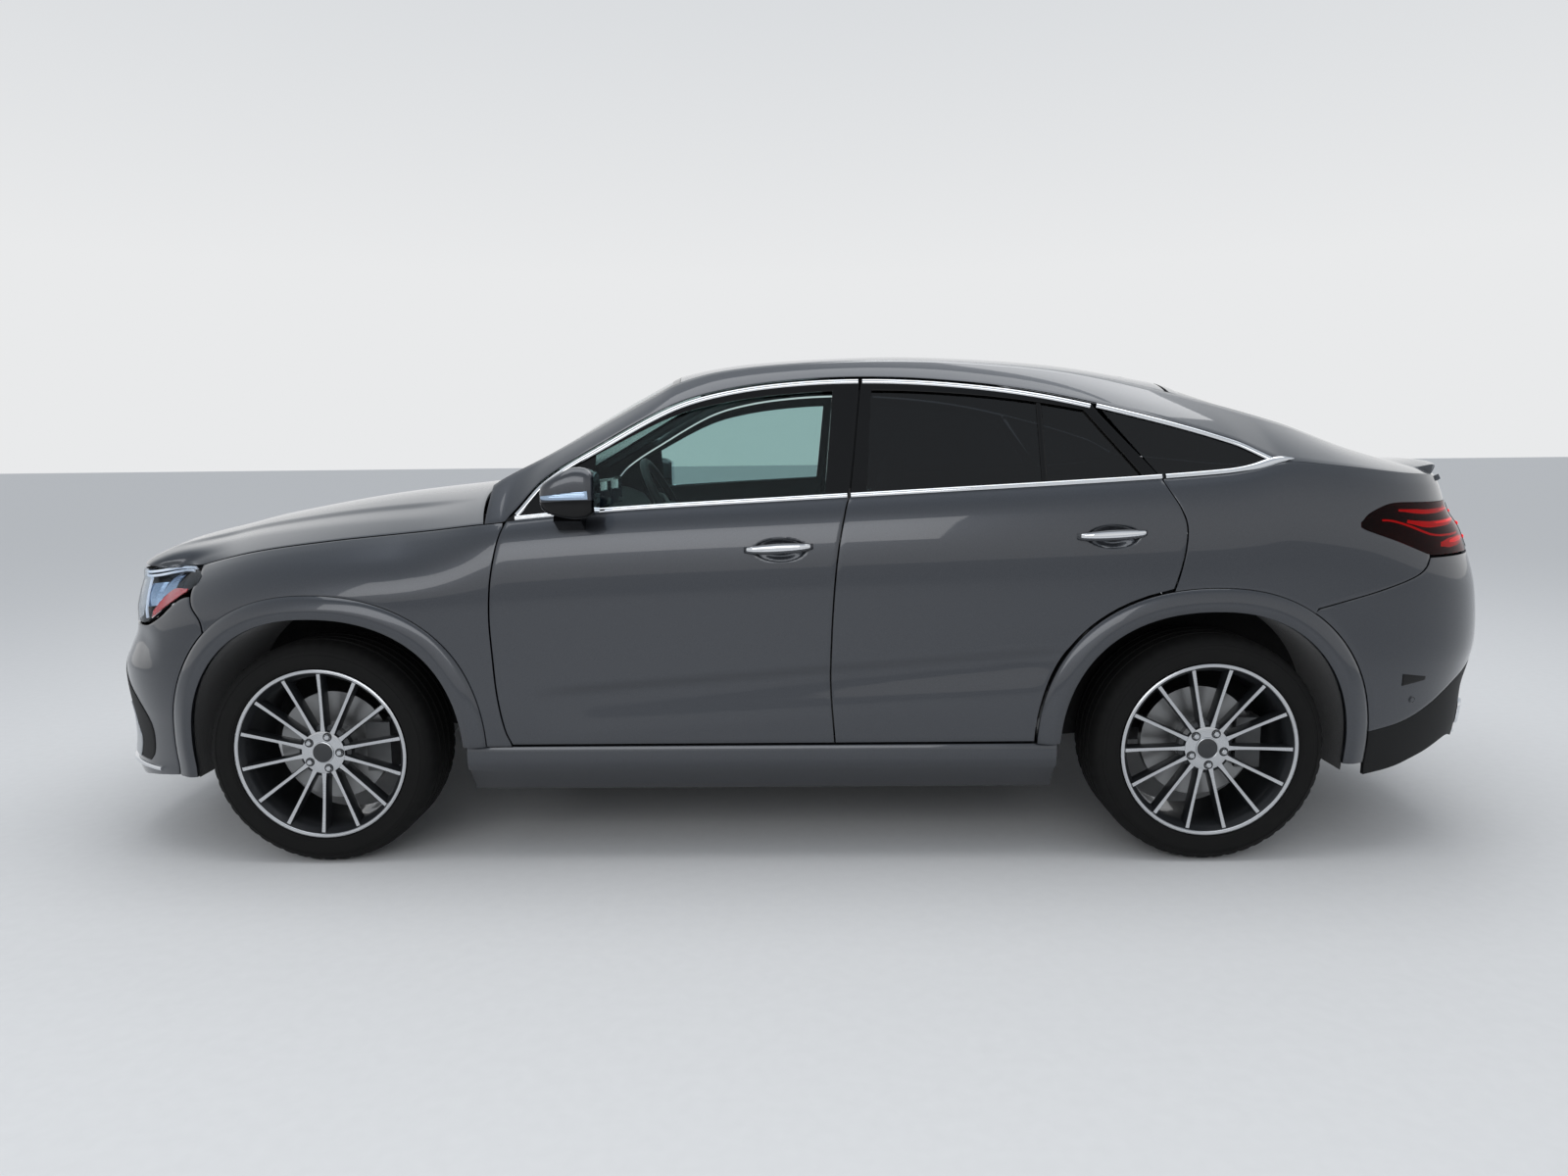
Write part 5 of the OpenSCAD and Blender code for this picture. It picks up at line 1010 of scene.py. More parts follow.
def ribbon(path, width, height, away, tint=0):
    """A trim strip with a rounded face along a path; away points out of the surface it lies on."""
    path = np.asarray(path, float)
    along = np.gradient(path, axis=0)
    along /= np.linalg.norm(along, axis=1, keepdims=True)
    away = np.broadcast_to(np.asarray(away, float), path.shape)
    out = away - np.sum(away * along, 1, keepdims=True) * along
    out /= np.linalg.norm(out, axis=1, keepdims=True)
    side = np.cross(along, out)
    w = np.broadcast_to(np.asarray(width, float), len(path))[:, None] / 2
    section = [(-1, -0.4), (-1, 0.35), (-0.72, 0.8), (-0.3, 1.0), (0.3, 1.0), (0.72, 0.8), (1, 0.35), (1, -0.4)]
    loops = np.stack([path + side * a * w + out * b * height for a, b in section], 1)
    return Surface().bar(loops, tint)


def nose_out(turn):
    """The direction straight out of the nose at an angle from the middle."""
    a = np.radians(turn)
    return np.stack([-np.cos(a), np.sin(a), np.zeros_like(a)], -1)


def slot_patch(outer_edge, inner_edge, low, high):
    """A patch of the left front corner between two edges, each a line of (height, angle)."""
    z = np.linspace(low, high, 30)[:, None]
    a = lerp(curve(inner_edge, z), curve(outer_edge, z), np.linspace(0, 1, 10)[None])
    return front_skin(-a, np.broadcast_to(z, a.shape), -2.0)


SLOT_LOW, SLOT_HIGH, BLADE_HIGH = 322, 670, 508
SLOT_OUTER = [(322, 48), (350, 50), (434, 50.5), (490, 48.5), (540, 44.5), (590, 38), (640, 30), (670, 26.5)]
SLOT_INNER = [(322, 41), (350, 42), (404, 42), (450, 38), (490, 35), (560, 32), (610, 29), (670, 25)]
BLADE_INNER = [(322, 30), (404, 30), (470, 31), (510, 33.5)]
black_slot = slot_patch(SLOT_OUTER, SLOT_INNER, SLOT_LOW, SLOT_HIGH)
slots = shell(black_slot, inward(black_slot, 6), tint=0)
blade = inward(slot_patch(SLOT_INNER, BLADE_INNER, SLOT_LOW, BLADE_HIGH), -3)
slots.join(shell(blade, inward(blade, 5), tint=1))
slots.both().piece("corner_air_slots", [grained, satin_silver], "body", slot="black_plastic", edge=1)

LIP_ANGLE, LIP_LOW, LIP_RISE = 54, 286, 17
turn = np.linspace(-LIP_ANGLE, LIP_ANGLE, 90)
lip_path = front_skin(turn, LIP_LOW + LIP_RISE * ease(np.abs(turn) / 50), -2.0)
ribbon(lip_path, 16, 9, nose_out(turn)).piece("front_lip", [chrome], "body", slot="steel")

# Slats across the lower mouth, with a plate behind them
slats = Surface()
for t in np.linspace(MOUTH_LOW, MOUTH_HIGH, 7)[1:-1]:
    rows = bumper_skin(np.linspace(-MOUTH_SHARE, MOUTH_SHARE, 40), t)
    slats.join(ribbon(rows + [26, 0, 0], 10, 14, (-1, 0, 0)))
fs, ts = np.linspace(-MOUTH_SHARE, MOUTH_SHARE, 30)[None], np.linspace(MOUTH_LOW, MOUTH_HIGH, 4)[:, None]
back = bumper_skin(fs, ts) + [48, 0, 0]
slats.join(shell(back, back + [6, 0, 0]))
slats.piece("mouth_slats", [grained], "body", slot="black_plastic")


# Radiator grille: a slatted frame with a bright edge all round.
# Moulded in gloss black with plated chrome strips, clipped into the bumper cover.
dress(gloss_black, "grille")
GRILLE_ANGLE, GRILLE_LOW, GRILLE_HIGH = 20.2, 672, 958
edging = Surface()
turn = np.linspace(-GRILLE_ANGLE, GRILLE_ANGLE, 50)
for z in (GRILLE_LOW, GRILLE_HIGH):
    edging.join(ribbon(front_skin(turn, z, -5), 13, 6, nose_out(turn)))
for z in (710, 760, 810, 860, 910):
    edging.join(ribbon(front_skin(turn * 0.9, z, -4), 7, 5, nose_out(turn)))
z = np.linspace(GRILLE_LOW + 4, GRILLE_HIGH - 4, 20)
for sign in (-1, 1):
    edging.join(ribbon(front_skin(sign * GRILLE_ANGLE, z, -5), 13, 6, (-1, 0, 0)))
edging.piece("grille_edging", [chrome], "body", slot="steel")


# Headlamps: a black bowl with two projector blocks, bright running-light bars and a red-amber side reflector.
# Moulded parts behind a clear polycarbonate cover, bolted to the carrier.
# Clear cover: almost colourless, smooth and bright at grazing angles, with faint mould haze
clear_cover, tree, shader, place = finish("clear_polycarbonate", "#F4F8FC", 0.02, Transmission_Weight=1.0, IOR=1.09)
haze = add(tree, "TexNoise", {"Vector": place, "Scale": per_mm(50), "Detail": 1.0})
add(tree, "MapRange", {"Value": haze.outputs["Fac"], "To Min": 0.0, "To Max": 0.04}, shader.inputs["Roughness"])
# Vacuum-plated reflector: mirror-bright, with flutes about 4 mm apart
reflector, tree, shader, place = finish("vacuum_plated_reflector", "#A9BDD4", 0.14, 1.0)
flute = add(tree, "TexWave", {"Vector": place, "Scale": per_mm(12), "Distortion": 0.0}, bands_direction="Z")
add(tree, "Bump", {"Height": flute.outputs["Fac"], "Strength": 0.25, "Distance": 0.001}, shader.inputs["Normal"])
# Light guide: milky plastic that reads white in daylight, its faint glow a painted highlight standing in for that
# daylight, with ribs about 1 mm apart
guide_with_painted_glow, tree, shader, place = finish("milky_guide_with_painted_glow", "#DDE6F2", 0.25, Emission_Strength=0.1)
shader.inputs["Emission Color"].default_value = linear("#E8F0FF")
rib = add(tree, "TexWave", {"Vector": place, "Scale": per_mm(3)})
add(tree, "Bump", {"Height": rib.outputs["Fac"], "Strength": 0.2, "Distance": 0.0005}, shader.inputs["Normal"])
# Side reflector: red-amber prismatic plastic, prisms drawn at 5 mm
side_reflector, tree, shader, place = finish("prismatic_reflector", "#C8363A", 0.2, Coat_Weight=0.8)
prism = add(tree, "TexVoronoi", {"Vector": place, "Scale": per_mm(5)}, distance="CHEBYCHEV")
add(tree, "Mix", {0: prism.outputs["Distance"], 6: linear("#D9474A"), 7: linear("#A8282C")},
    shader.inputs["Base Color"], data_type="RGBA")

HEADLAMP_LOW = [(0, 800), (24, 800), (36, 806), (45, 812), (47.5, 820), (54, 869), (60, 919), (64.5, 956)]
HEADLAMP_HIGH = [(0, 972), (24, 974), (36, 978), (43.7, 982), (49, 988), (57.7, 988), (61.8, 976), (64.5, 960)]
LAMP_INNER, LAMP_TIP = 24.0, 64.0


def lamp_point(a, t, inset=0.0):
    """Points of the left lamp by angle round the nose and share of its height."""
    a, t, inset = np.broadcast_arrays(np.asarray(a, float), t, inset)
    k = ease((LAMP_TIP - a) / 25)
    z = lerp(curve(HEADLAMP_LOW, a) - 5, curve(HEADLAMP_HIGH, a) + 4, t)
    return front_skin(-a, z) + inset[..., None] * np.stack([k, np.sqrt(1 - k * k), 0 * k], -1)


turns, rows = np.linspace(LAMP_INNER, LAMP_TIP, 60)[None], np.linspace(0, 1, 24)[:, None]
cover = lamp_point(turns, rows)
shell(cover, lamp_point(turns, rows, 3.0)).both().piece(
    "headlamp_covers", [clear_cover], "body", ["headlamps"], "clear_glass")
across = (turns - LAMP_INNER) / (LAMP_TIP - LAMP_INNER)
bowl_depth = 5 + 44 * (1 - np.abs(2 * across - 1) ** 3) * (1 - np.abs(2 * rows - 1) ** 4)
bowl = lamp_point(turns, rows, bowl_depth)
lamps = shell(bowl, lamp_point(turns, rows, bowl_depth + 3.0), tint=0)
# Two domed projector blocks, by their angles and shares of the height
for a0, a1, t0, t1 in ((38.5, 45.0, 0.30, 0.72), (47.5, 52.5, 0.42, 0.78)):
    a, t = np.linspace(a0, a1, 10)[None], np.linspace(t0, t1, 10)[:, None]
    dome = 1 - ((2 * (a - a0) / (a1 - a0) - 1) ** 2 + (2 * (t - t0) / (t1 - t0) - 1) ** 2) / 2
    lamps.join(shell(lamp_point(a, t, 30 - 14 * dome), lamp_point(a, t, 44.0), tint=1))
# Light bars with the painted glow: two along the top and an upright one
for t, first in ((0.86, 27.0), (0.94, 33.0)):
    lamps.join(ribbon(lamp_point(np.linspace(first, 58.5, 40), t, 12.0), 9, 5, (-0.6, -0.8, 0), tint=2))
upright = np.linspace(0.08, 0.84, 20)
lamps.join(ribbon(lamp_point(39 + 5 * (1 - upright), upright, 15.0), 12, 5, (-0.7, -0.7, 0), tint=2))
# The side reflector, a wedge that is highest in its middle
REFLECTOR_FRONT, REFLECTOR_LENGTH = 48.5, 12
a = REFLECTOR_FRONT + np.linspace(0, REFLECTOR_LENGTH, 24)[None]
t = np.linspace(0.05, 0.42, 8)[:, None]
swell = 0.35 + 0.65 * np.sin(np.clip((a - REFLECTOR_FRONT) / REFLECTOR_LENGTH, 0, 1) * math.pi)
wedge = lamp_point(a, t * swell, 5.0)
lamps.join(shell(wedge, inward(wedge, 3), tint=3))
lamps.both().piece("headlamp_units", [grained, reflector, guide_with_painted_glow, side_reflector], "body", slot="clear_glass")


# Rear bumper and valance: a painted cover above a black textured lower part.
# Both are clipped to the floor's rear wall; bright trims frame the two exhaust outlets.
BUMPER_EDGE = [(846, 1690), (873, 1790), (898, 1883), (938, 2005), (966, 2050), (998, 2066)]
VALANCE_TOP = [(0, 640), (0.6, 636), (0.72, 590), (0.84, 510), (0.92, 462), (1, 433)]
VALANCE_FOOT = [(0, 330), (0.6, 352), (0.72, 378), (0.84, 336), (0.92, 304), (1, 284)]
BUMPER_LEDGE = 834
# The tailgate's edge lies at this share of the way from the middle to the wheel opening
EDGE_SHARE = 0.6


def rear_end_x(z):
    """Where the cover ends at the side: along the quarter panel, and below it along the flare."""
    arch = arch_side(REAR_AXLE, 1, False, z, FLARE)
    return np.where(z > 838, np.maximum(curve(BUMPER_EDGE, z), arch), arch) + GAP


def rear_cover(f, z):
    """Points round the tail: f from the middle past the tailgate's edge to the wheel opening (1)."""
    f, z = np.broadcast_arrays(np.asarray(f, float), np.asarray(z, float))
    edge = tail_angle(TAILGATE_HALF + GAP, z)
    share = np.clip((rear_end_x(z) - REAR_TAPER) / (tail_x(z) - REAR_TAPER), 0, 1)
    end = np.degrees(np.arccos(share ** (ROUNDNESS / 2)))
    beyond = lerp(edge, end, (np.abs(f) - EDGE_SHARE) / (1 - EDGE_SHARE))
    a = np.where(np.abs(f) <= EDGE_SHARE, edge * np.abs(f) / EDGE_SHARE, beyond)
    return rear_skin(np.sign(f) * a, z)


fs = even(-1, 1, 161, -EDGE_SHARE, EDGE_SHARE)
low_rows, high_rows = np.linspace(0, 1, 30)[:, None], np.linspace(846, 999, 16)[:, None]
foot = curve(VALANCE_TOP, np.abs(fs))[None] + 2
z = np.vstack([lerp(foot, BUMPER_LEDGE, low_rows), np.repeat(high_rows, len(fs), 1)])
skin = rear_cover(fs[None], z)
middle = np.abs(between(fs)) < EDGE_SHARE
above_ledge = np.arange(len(z) - 1) >= len(low_rows) - 1
shell(skin, inward(skin, COVER_DEPTH), ~(above_ledge[:, None] & middle[None])).piece(
    "rear_bumper_cover", [paint], "body", ["rear_bumper"], "body_paint", edge=2.5)
foot, top = (curve(line, np.abs(fs))[None] for line in (VALANCE_FOOT, VALANCE_TOP))
z = lerp(foot, top, np.linspace(0, 1, 22)[:, None])
skin = rear_cover(fs[None], z)
# The middle of the valance is set back behind a raised rim, with upright fins
hollow = 16 * ease((0.44 - np.abs(fs[None])) / 0.05) * ease((z - 372) / 20) * ease((560 - z) / 20)
skin[..., 0] -= hollow
shell(skin, inward(skin, COVER_DEPTH)).piece(
    "rear_valance_cover", [grained], "body", ["rear_valance"], "black_plastic", edge=2.5)

trims = Surface()
for sign in (-1, 1):
    # Outlet trims: a rounded four-sided ring on each side of the valance, dark inside
    ring = []
    for q in np.linspace(0, 2 * math.pi, 33)[:-1]:
        c, s = math.cos(q), math.sin(q)
        ring.append((0.52 + 0.066 * np.sign(c) * abs(c) ** 0.5, 432 + 40 * np.sign(s) * abs(s) ** 0.5))
    ring = np.array(ring + ring[:1])
    path = rear_cover(sign * ring[:, 0], ring[:, 1]) + [3, 0, 0]
    trims.join(ribbon(path, 13, 9, (1, 0, 0), tint=0))
    dark = rear_cover(sign * np.linspace(0.462, 0.578, 8)[None], np.linspace(396, 468, 6)[:, None]) + [2, 0, 0]
    trims.join(shell(dark, dark - [6, 0, 0], tint=1))
for f in (-0.27, -0.09, 0.09, 0.27):
    z = np.linspace(384, 548, 12)
    trims.join(ribbon(rear_cover(f, z) - [14, 0, 0], 8, 14, (1, 0, 0), tint=1))
trims.piece("valance_trims", [chrome, gloss_black], "body", slot="steel")
foot_path = np.linspace(-0.56, 0.56, 60)
ribbon(rear_cover(foot_path, curve(VALANCE_FOOT, np.abs(foot_path)) + 10), 14, 8, (1, 0, 0)).piece(
    "valance_lip", [chrome], "body", slot="steel")


# Tail lamps: dark bowls with three red light bars and a thin sweep of light bar, all with a painted red glow, in two
# parts a side.
# Moulded behind a smoked red cover; the outer part is bolted to the quarter panel, the inner one to the tailgate.
# Smoked red cover: deep red, glossy and see-through
red_cover, tree, shader, place = finish("smoked_red_acrylic", "#8E1A22", 0.03, Transmission_Weight=1.0, IOR=1.15)
haze = add(tree, "TexNoise", {"Vector": place, "Scale": per_mm(50), "Detail": 1.0})
add(tree, "MapRange", {"Value": haze.outputs["Fac"], "To Min": 0.0, "To Max": 0.05}, shader.inputs["Roughness"])
# Red light bars: red plastic that reads bright red in daylight, its strong glow a painted highlight standing in for
# that daylight, with ribs about 1 mm apart
red_bar_with_painted_glow, tree, shader, place = finish("red_light_bar_painted_glow", "#E5101F", 0.3, Emission_Strength=0.9)
shader.inputs["Emission Color"].default_value = linear("#FF1420")
rib = add(tree, "TexWave", {"Vector": place, "Scale": per_mm(4)})
add(tree, "Bump", {"Height": rib.outputs["Fac"], "Strength": 0.3, "Distance": 0.0006}, shader.inputs["Normal"])


def tail_lamp(c, t, inset=0.0):
    """Points of the left lamp by column of the quarter panel and share of the height."""
    c, t, inset = np.broadcast_arrays(np.asarray(c, float), t, inset)
    low, high = quarter(c, 2), quarter(c, 3)
    x = lerp(low[..., 0], high[..., 0], t)
    p = left(x, lerp(low[..., 2] + 1, high[..., 2] - 1, t))
    round_tail = ease((c - 13) / 2)
    return p + inset[..., None] * np.stack([-round_tail, 1 - round_tail, np.zeros_like(c)], -1)


cs, ts = np.linspace(TIP_COLUMN, LAST_COLUMN, 60)[None], np.linspace(0, 1, 16)[:, None]
shell(tail_lamp(cs, ts, -1.0), tail_lamp(cs, ts, 2.0)).both().piece(
    "tail_lamp_covers", [red_cover], "body", ["tail_lamps"], "red_lens")
across = (cs - TIP_COLUMN) / (LAST_COLUMN - TIP_COLUMN)
depth = 3 + 24 * (1 - np.abs(2 * ts - 1) ** 4) * (1 - np.abs(2 * across - 1) ** 20)
lamps = shell(tail_lamp(cs, ts, depth), tail_lamp(cs, ts, depth + 3))
# Bars by their first and last column, shares of the height and thickness
BARS = ((11.0, 14.9, 0.80, 0.84, 14), (11.3, 14.9, 0.56, 0.60, 20), (12.9, 14.8, 0.18, 0.22, 30))
for first, last, low, high, thick in BARS:
    c = np.linspace(first, last, 40)
    bar = tail_lamp(c, np.linspace(low, high, 40), 12.0)
    lamps.join(ribbon(bar, thick * (0.5 + 0.5 * ease((c - first) / 0.8)), 7, (0.2, -1, 0), tint=1))
sweep = np.linspace(0, 1, 40)
sweep_path = tail_lamp(10.3 + 4.6 * sweep, 0.52 - 0.17 * ease(sweep / 0.6), 14.0)
lamps.join(ribbon(sweep_path, 6, 5, (0.2, -1, 0), tint=1))
lamps.both().piece("tail_lamp_units", [grained, red_bar_with_painted_glow], "body", slot="red_lens")


def on_tailgate(y, z, out):
    """Points of the tailgate's upright part moved out by some millimetres."""
    y, z = np.broadcast_arrays(np.asarray(y, float), np.asarray(z, float))
    return np.stack([rear_skin(tail_angle(y, z), z)[..., 0] + out, y, z], -1)


INNER_TIP, TRIM_HEIGHT = -330, 1092


def inner_lamp(y, share):
    """Points of the lamp on the tailgate, which narrows to its tip."""
    taper = ease((INNER_TIP - y) / 90)
    return on_tailgate(y, lerp(1090 - 78 * taper, TRIM_HEIGHT + 72 * taper, share), 4.0)


face = inner_lamp(np.linspace(-676, INNER_TIP, 40)[None], np.linspace(0, 1, 12)[:, None])
insets = shell(face, face - [7, 0, 0], tint=0)
# Three red bars with the painted glow on the gloss black face
for share, thick in ((0.80, 11), (0.52, 13), (0.22, 14)):
    insets.join(ribbon(inner_lamp(np.linspace(-672, -400, 30), share), thick, 3, (1, 0, 0), tint=1))
insets.both().piece("tailgate_lamps", [gloss_black, red_bar_with_painted_glow], "tailgate_body", slot="red_lens")
ribbon(on_tailgate(np.linspace(-320, 320, 50), TRIM_HEIGHT, 2.0), 16, 6, (1, 0, 0)).piece(
    "tailgate_trim_bar", [chrome], "tailgate_body", slot="steel")


# Glass: a laminated windshield with a black printed border, toughened door panes and dark privacy glass behind.
# The panes are bonded to the frame or held in the doors.
# Laminated glass: clear with a slight green-blue tint; privacy glass: body-tinted almost black.
# Both are mirror-smooth, with a broad faint waviness
panes = []
for name, colour, ior in (("laminated_glass", "#C4DAD8", 1.3), ("privacy_glass", "#23272B", 1.45)):
    glass, tree, shader, place = finish(name, colour, 0.0, Transmission_Weight=1.0, IOR=ior)
    wave = add(tree, "TexNoise", {"Vector": place, "Scale": per_mm(400), "Detail": 0.0})
    add(tree, "Bump", {"Height": wave.outputs["Fac"], "Strength": 0.02, "Distance": 0.002}, shader.inputs["Normal"])
    panes.append(glass)
clear_glass, privacy_glass = panes

WINDSHIELD_FOOT, WINDSHIELD_TOP = -978.0, -373.0


def windshield_share(d):
    """Share of the way from the foot of the glass to its top."""
    return (d - WINDSHIELD_FOOT) / (WINDSHIELD_TOP - WINDSHIELD_FOOT)


def windshield(d, v, drop=0.0):
    """Points of the windshield: d along its edge from base to header, v across."""
    d, v = np.broadcast_arrays(d, v)
    t = windshield_share(d)
    crown = lerp(1232, float(curve(ROOF_CROWN, ROOF_FRONT - HEADER_BOW)), t) + 26 * np.sin(math.pi * t)
    z = lerp(crown, curve(ROOF_EDGE, d), np.abs(v) ** 2.2)
    return np.stack([d - lerp(90, HEADER_BOW, t) * (1 - v * v), v * (curve(ROOF_EDGE_WIDTH, d) - 1.7), z - drop], -1)


ds, vs = np.linspace(WINDSHIELD_FOOT, WINDSHIELD_TOP, 50)[:, None], np.linspace(-1, 1, 64)[None]
mid_t, mid_v = windshield_share(between(ds)), np.abs(between(vs[0]))[None]
printed = (mid_t < 0.07) | (mid_t > 0.95) | (mid_v > 0.95)
shell(windshield(ds, vs), windshield(ds, vs, 5.0), tint=printed.astype(int)).piece(
    "windshield_pane", [clear_glass, gloss_black], "body", ["windshield"], "clear_glass")
xs, vs = np.linspace(ROOF_GLASS[0] + 1, ROOF_GLASS[1] - 1, 50)[:, None], np.linspace(-0.719, 0.719, 40)[None]
shell(roof_skin(xs, vs, 1.0), roof_skin(xs, vs, 7.0)).piece(
    "roof_panel", [privacy_glass], "body", ["roof_glass"], "tinted_glass")

for end, glass, slot in (("front", clear_glass, "clear_glass"), ("rear", privacy_glass, "tinted_glass")):
    first, last = WINDOW_COLUMNS[end]
    fs, hs = np.linspace(first + 0.001, last - 0.001, 40)[None], np.linspace(*WINDOW_ROWS, 20)[:, None]
    skin = door_skin(fs, hs, end == "front", 11.0)
    pane = shell(skin, inward(skin, 4.0, True))
    for side, sign in SIDE_SIGNS:
        pane.on(sign).piece(
            f"{end}_{side}_pane", [glass], f"{end}_{side}_door_body", [f"{end}_{side}_glass"], slot)

ts, ss = np.linspace(0, 1, 30)[None], np.linspace(0, 1, 16)[:, None]
QUARTER_PANE_REAR = 1560
# The slanting front edge is met in two steps, as its place and height depend on each other
x0 = lerp(curve(WINDOW_DIVIDER, lerp(1262, 1470, ss)) + 6, QUARTER_PANE_REAR, ts)
z1 = lerp(shoulder(x0) + 8, window_top(x0) - 8, ss)
x1 = lerp(curve(WINDOW_DIVIDER, z1) + 6, QUARTER_PANE_REAR, ts)
skin = left(x1, lerp(shoulder(x1) + 2, window_top(x1) - 3, ss), 4.0)
shell(skin, inward(skin, 5.0, True)).both().piece(
    "quarter_panes", [privacy_glass], "body", ["quarter_glass"], "tinted_glass")
first, last = REAR_WINDOW_ROWS
js, vs = np.linspace(first + 0.01, last - 0.01, 40)[:, None], np.linspace(-0.929, 0.929, 50)[None]
skin = tailgate_upper(js, vs) - [1, 0, 3]
shell(skin, skin - [1, 0, 5]).piece("rear_pane", [privacy_glass], "tailgate_body", ["rear_window"], "tinted_glass")


# Window trim: bright strips along the belt and over the windows, cut at each door, that meet in a point at the rear.
# Plated and clipped on; gloss black sail plates fill the front corners, and a black bar divides each rear pane.
def strip_top(x, under):
    """A line so far below the windows' upper edge, square to it."""
    slope = (window_top(x + 20) - window_top(x - 20)) / 40
    return left(x, window_top(x) - under * np.sqrt(1 + slope * slope), -1.0)


def belt(x):
    """The line of the strips under the windows."""
    return left(x, shoulder(x) + 8, -1.0)


OUT = (0, -1, 0.42)
STRIP = 15
trim = {}
# Each door's strips by first place, last place and steps: over the window and along the belt
for end, over, along in (("front", (-886, 232, 90), (-890, 187, 70)), ("rear", (246, 988, 70), (199, 1193, 70))):
    trim[end] = ribbon(strip_top(np.linspace(*over), 16), STRIP, 5, OUT)
    trim[end].join(ribbon(belt(np.linspace(*along)), STRIP, 6, OUT))
quarter_trim = ribbon(strip_top(np.linspace(1008, 1550, 60), 10), STRIP, 5, OUT)
xs = np.linspace(1205, 1608, 50)
point = np.sqrt(np.clip((1610 - xs) / 70, 0.03, 1))
quarter_trim.join(ribbon(belt(xs), (STRIP + 9 * ease((xs - 1430) / 110)) * point, 6, OUT))
quarter_trim.both().piece("quarter_window_trim", [chrome], "body", slot="steel")
sail = door_skin(np.linspace(0.162, 0.25, 12)[None], np.linspace(*WINDOW_ROWS, 14)[:, None], True, 5.0)
sail = shell(sail, inward(sail, 5.0, True))
BAR_PLACE = 823.0
z = np.linspace(shoulder(BAR_PLACE) + 10, door_top(BAR_PLACE) - 24, 16)
bar = ribbon(left(BAR_PLACE, z, 8.0), 17, 5, OUT)
for side, sign in SIDE_SIGNS:
    for end, extra in (("front", sail), ("rear", bar)):
        trim[end].on(sign).piece(f"{end}_{side}_window_trim", [chrome], f"{end}_{side}_door_body", slot="steel")
        extra.on(sign).piece(
            f"{end}_{side}_window_filler", [gloss_black], f"{end}_{side}_door_body", slot="black_plastic")


# Door handles: pull bars over the cups of the doors.
# Moulded, painted with the body and faced with a plated strip; each is held at both ends.
HANDLE_HALF = 111
for end, (middle_x, middle_z) in HANDLES.items():
    s = np.linspace(-1, 1, 41)
    line = left(middle_x + HANDLE_HALF * s, middle_z + 10 + 5 * s)
    stand = 24 * (1 - np.abs(s) ** 7) - 3
    height, depth = 17 * (1 - 0.45 * s ** 2), 9 * (1 - 0.35 * s ** 4)
    loops = []
    for p, o, h, d in zip(line, stand, height, depth):
        ring = [(h * math.sin(q), d * math.cos(q)) for q in np.linspace(0, 2 * math.pi, 17)[:-1]]
        loops.append([(p[0], p[1] - o - b, p[2] + a) for a, b in ring])
    handle = Surface().bar(loops, 0)
    face_line = line - np.stack(np.broadcast_arrays(0.0, stand + depth - 1.5, -3.0), -1)
    handle.join(ribbon(face_line[2:-2], 19 * (1 - 0.5 * s[2:-2] ** 2), 2.5, (0, -1, 0.1), tint=1))
    for side, sign in SIDE_SIGNS:
        handle.on(sign).piece(
            f"{end}_{side}_pull_handle", [paint, chrome], f"{end}_{side}_door_body", slot="body_paint")


# Door mirrors: a painted cap over a black lower shell, with a bright indicator strip and a silvered glass.
# Moulded in halves and screwed to the doors by a black foot.
# Silvered glass: a plain mirror with a bluish cast and a trace of haze
mirror_silver, tree, shader, place = finish("silvered_glass", "#C8D0D8", 0.02, 1.0)
haze = add(tree, "TexNoise", {"Vector": place, "Scale": per_mm(30), "Detail": 2.0})
add(tree, "MapRange", {"Value": haze.outputs["Fac"], "To Min": 0.0, "To Max": 0.05}, shader.inputs["Roughness"])


def rounded(centre, half, power=0.6, count=(24, 40)):
    """Rows of a rounded block about a centre; a power below 1 squares it."""
    u = np.radians(np.linspace(-90, 90, count[0]))[:, None]
    v = np.radians(np.arange(count[1]) * 360 / count[1])[None]

    def soft(t):
        return np.sign(t) * np.abs(t) ** power
    round_u = soft(np.cos(u))
    block = np.broadcast_arrays(
        round_u * soft(np.cos(v)) * half[0], round_u * soft(np.sin(v)) * half[1], soft(np.sin(u)) * half[2])
    return np.stack(block, -1) + np.asarray(centre, float)


MIRROR = np.array([-690.0, -1010.0, 1241.0])
MIRROR_BACK = -606
MIRROR_HALF = (90, 62, 82)
cap = rounded(MIRROR, MIRROR_HALF, 0.55, (41, 64))
# The front is lower than the rear, which is cut flat
nose = ease((MIRROR[0] + 30 - cap[..., 0]) / 120)
cap[..., 2] = lerp(cap[..., 2], MIRROR[2] - 12 + (cap[..., 2] - MIRROR[2]) * 0.66, nose)
cap[..., 0] = np.minimum(cap[..., 0], MIRROR_BACK)
mirror = Surface().grid(cap, tint=(between(cap[..., 2]) < MIRROR[2] - 22).astype(int), ring=True)
xs, zs = np.linspace(-742, -655, 8)[None], np.linspace(1120, 1168, 6)[:, None]
foot_in, foot_out = left(xs, zs, -1.0), left(xs, zs, -72.0) + [0, 0, 34]
mirror.join(shell(foot_out, foot_in, tint=1))
dx = np.linspace(-80, 66, 30)
around_cap = MIRROR_HALF[1] * (1 - np.abs(dx / MIRROR_HALF[0]) ** 3.6) ** (1 / 3.6)
indicator = np.stack([MIRROR[0] + dx, MIRROR[1] - around_cap + 1, MIRROR[2] - 8 + 0.06 * dx], -1)
mirror.join(ribbon(indicator, 20 + 0.1 * dx, 3, (-0.3, -1, 0), tint=2))
outline = [(np.sign(c) * abs(c) ** 0.6 * 54, np.sign(s) * abs(s) ** 0.6 * 66) for c, s in
           ((math.cos(a), math.sin(a)) for a in np.linspace(0, 2 * math.pi, 33)[:-1])]
glass = [[(MIRROR_BACK + 1.5, MIRROR[1] + y * q, MIRROR[2] + z * q) for y, z in outline]
         for q in (1.0, 0.98, 0.5, 0.05)]
mirror.grid(glass, tint=3, ring=True)
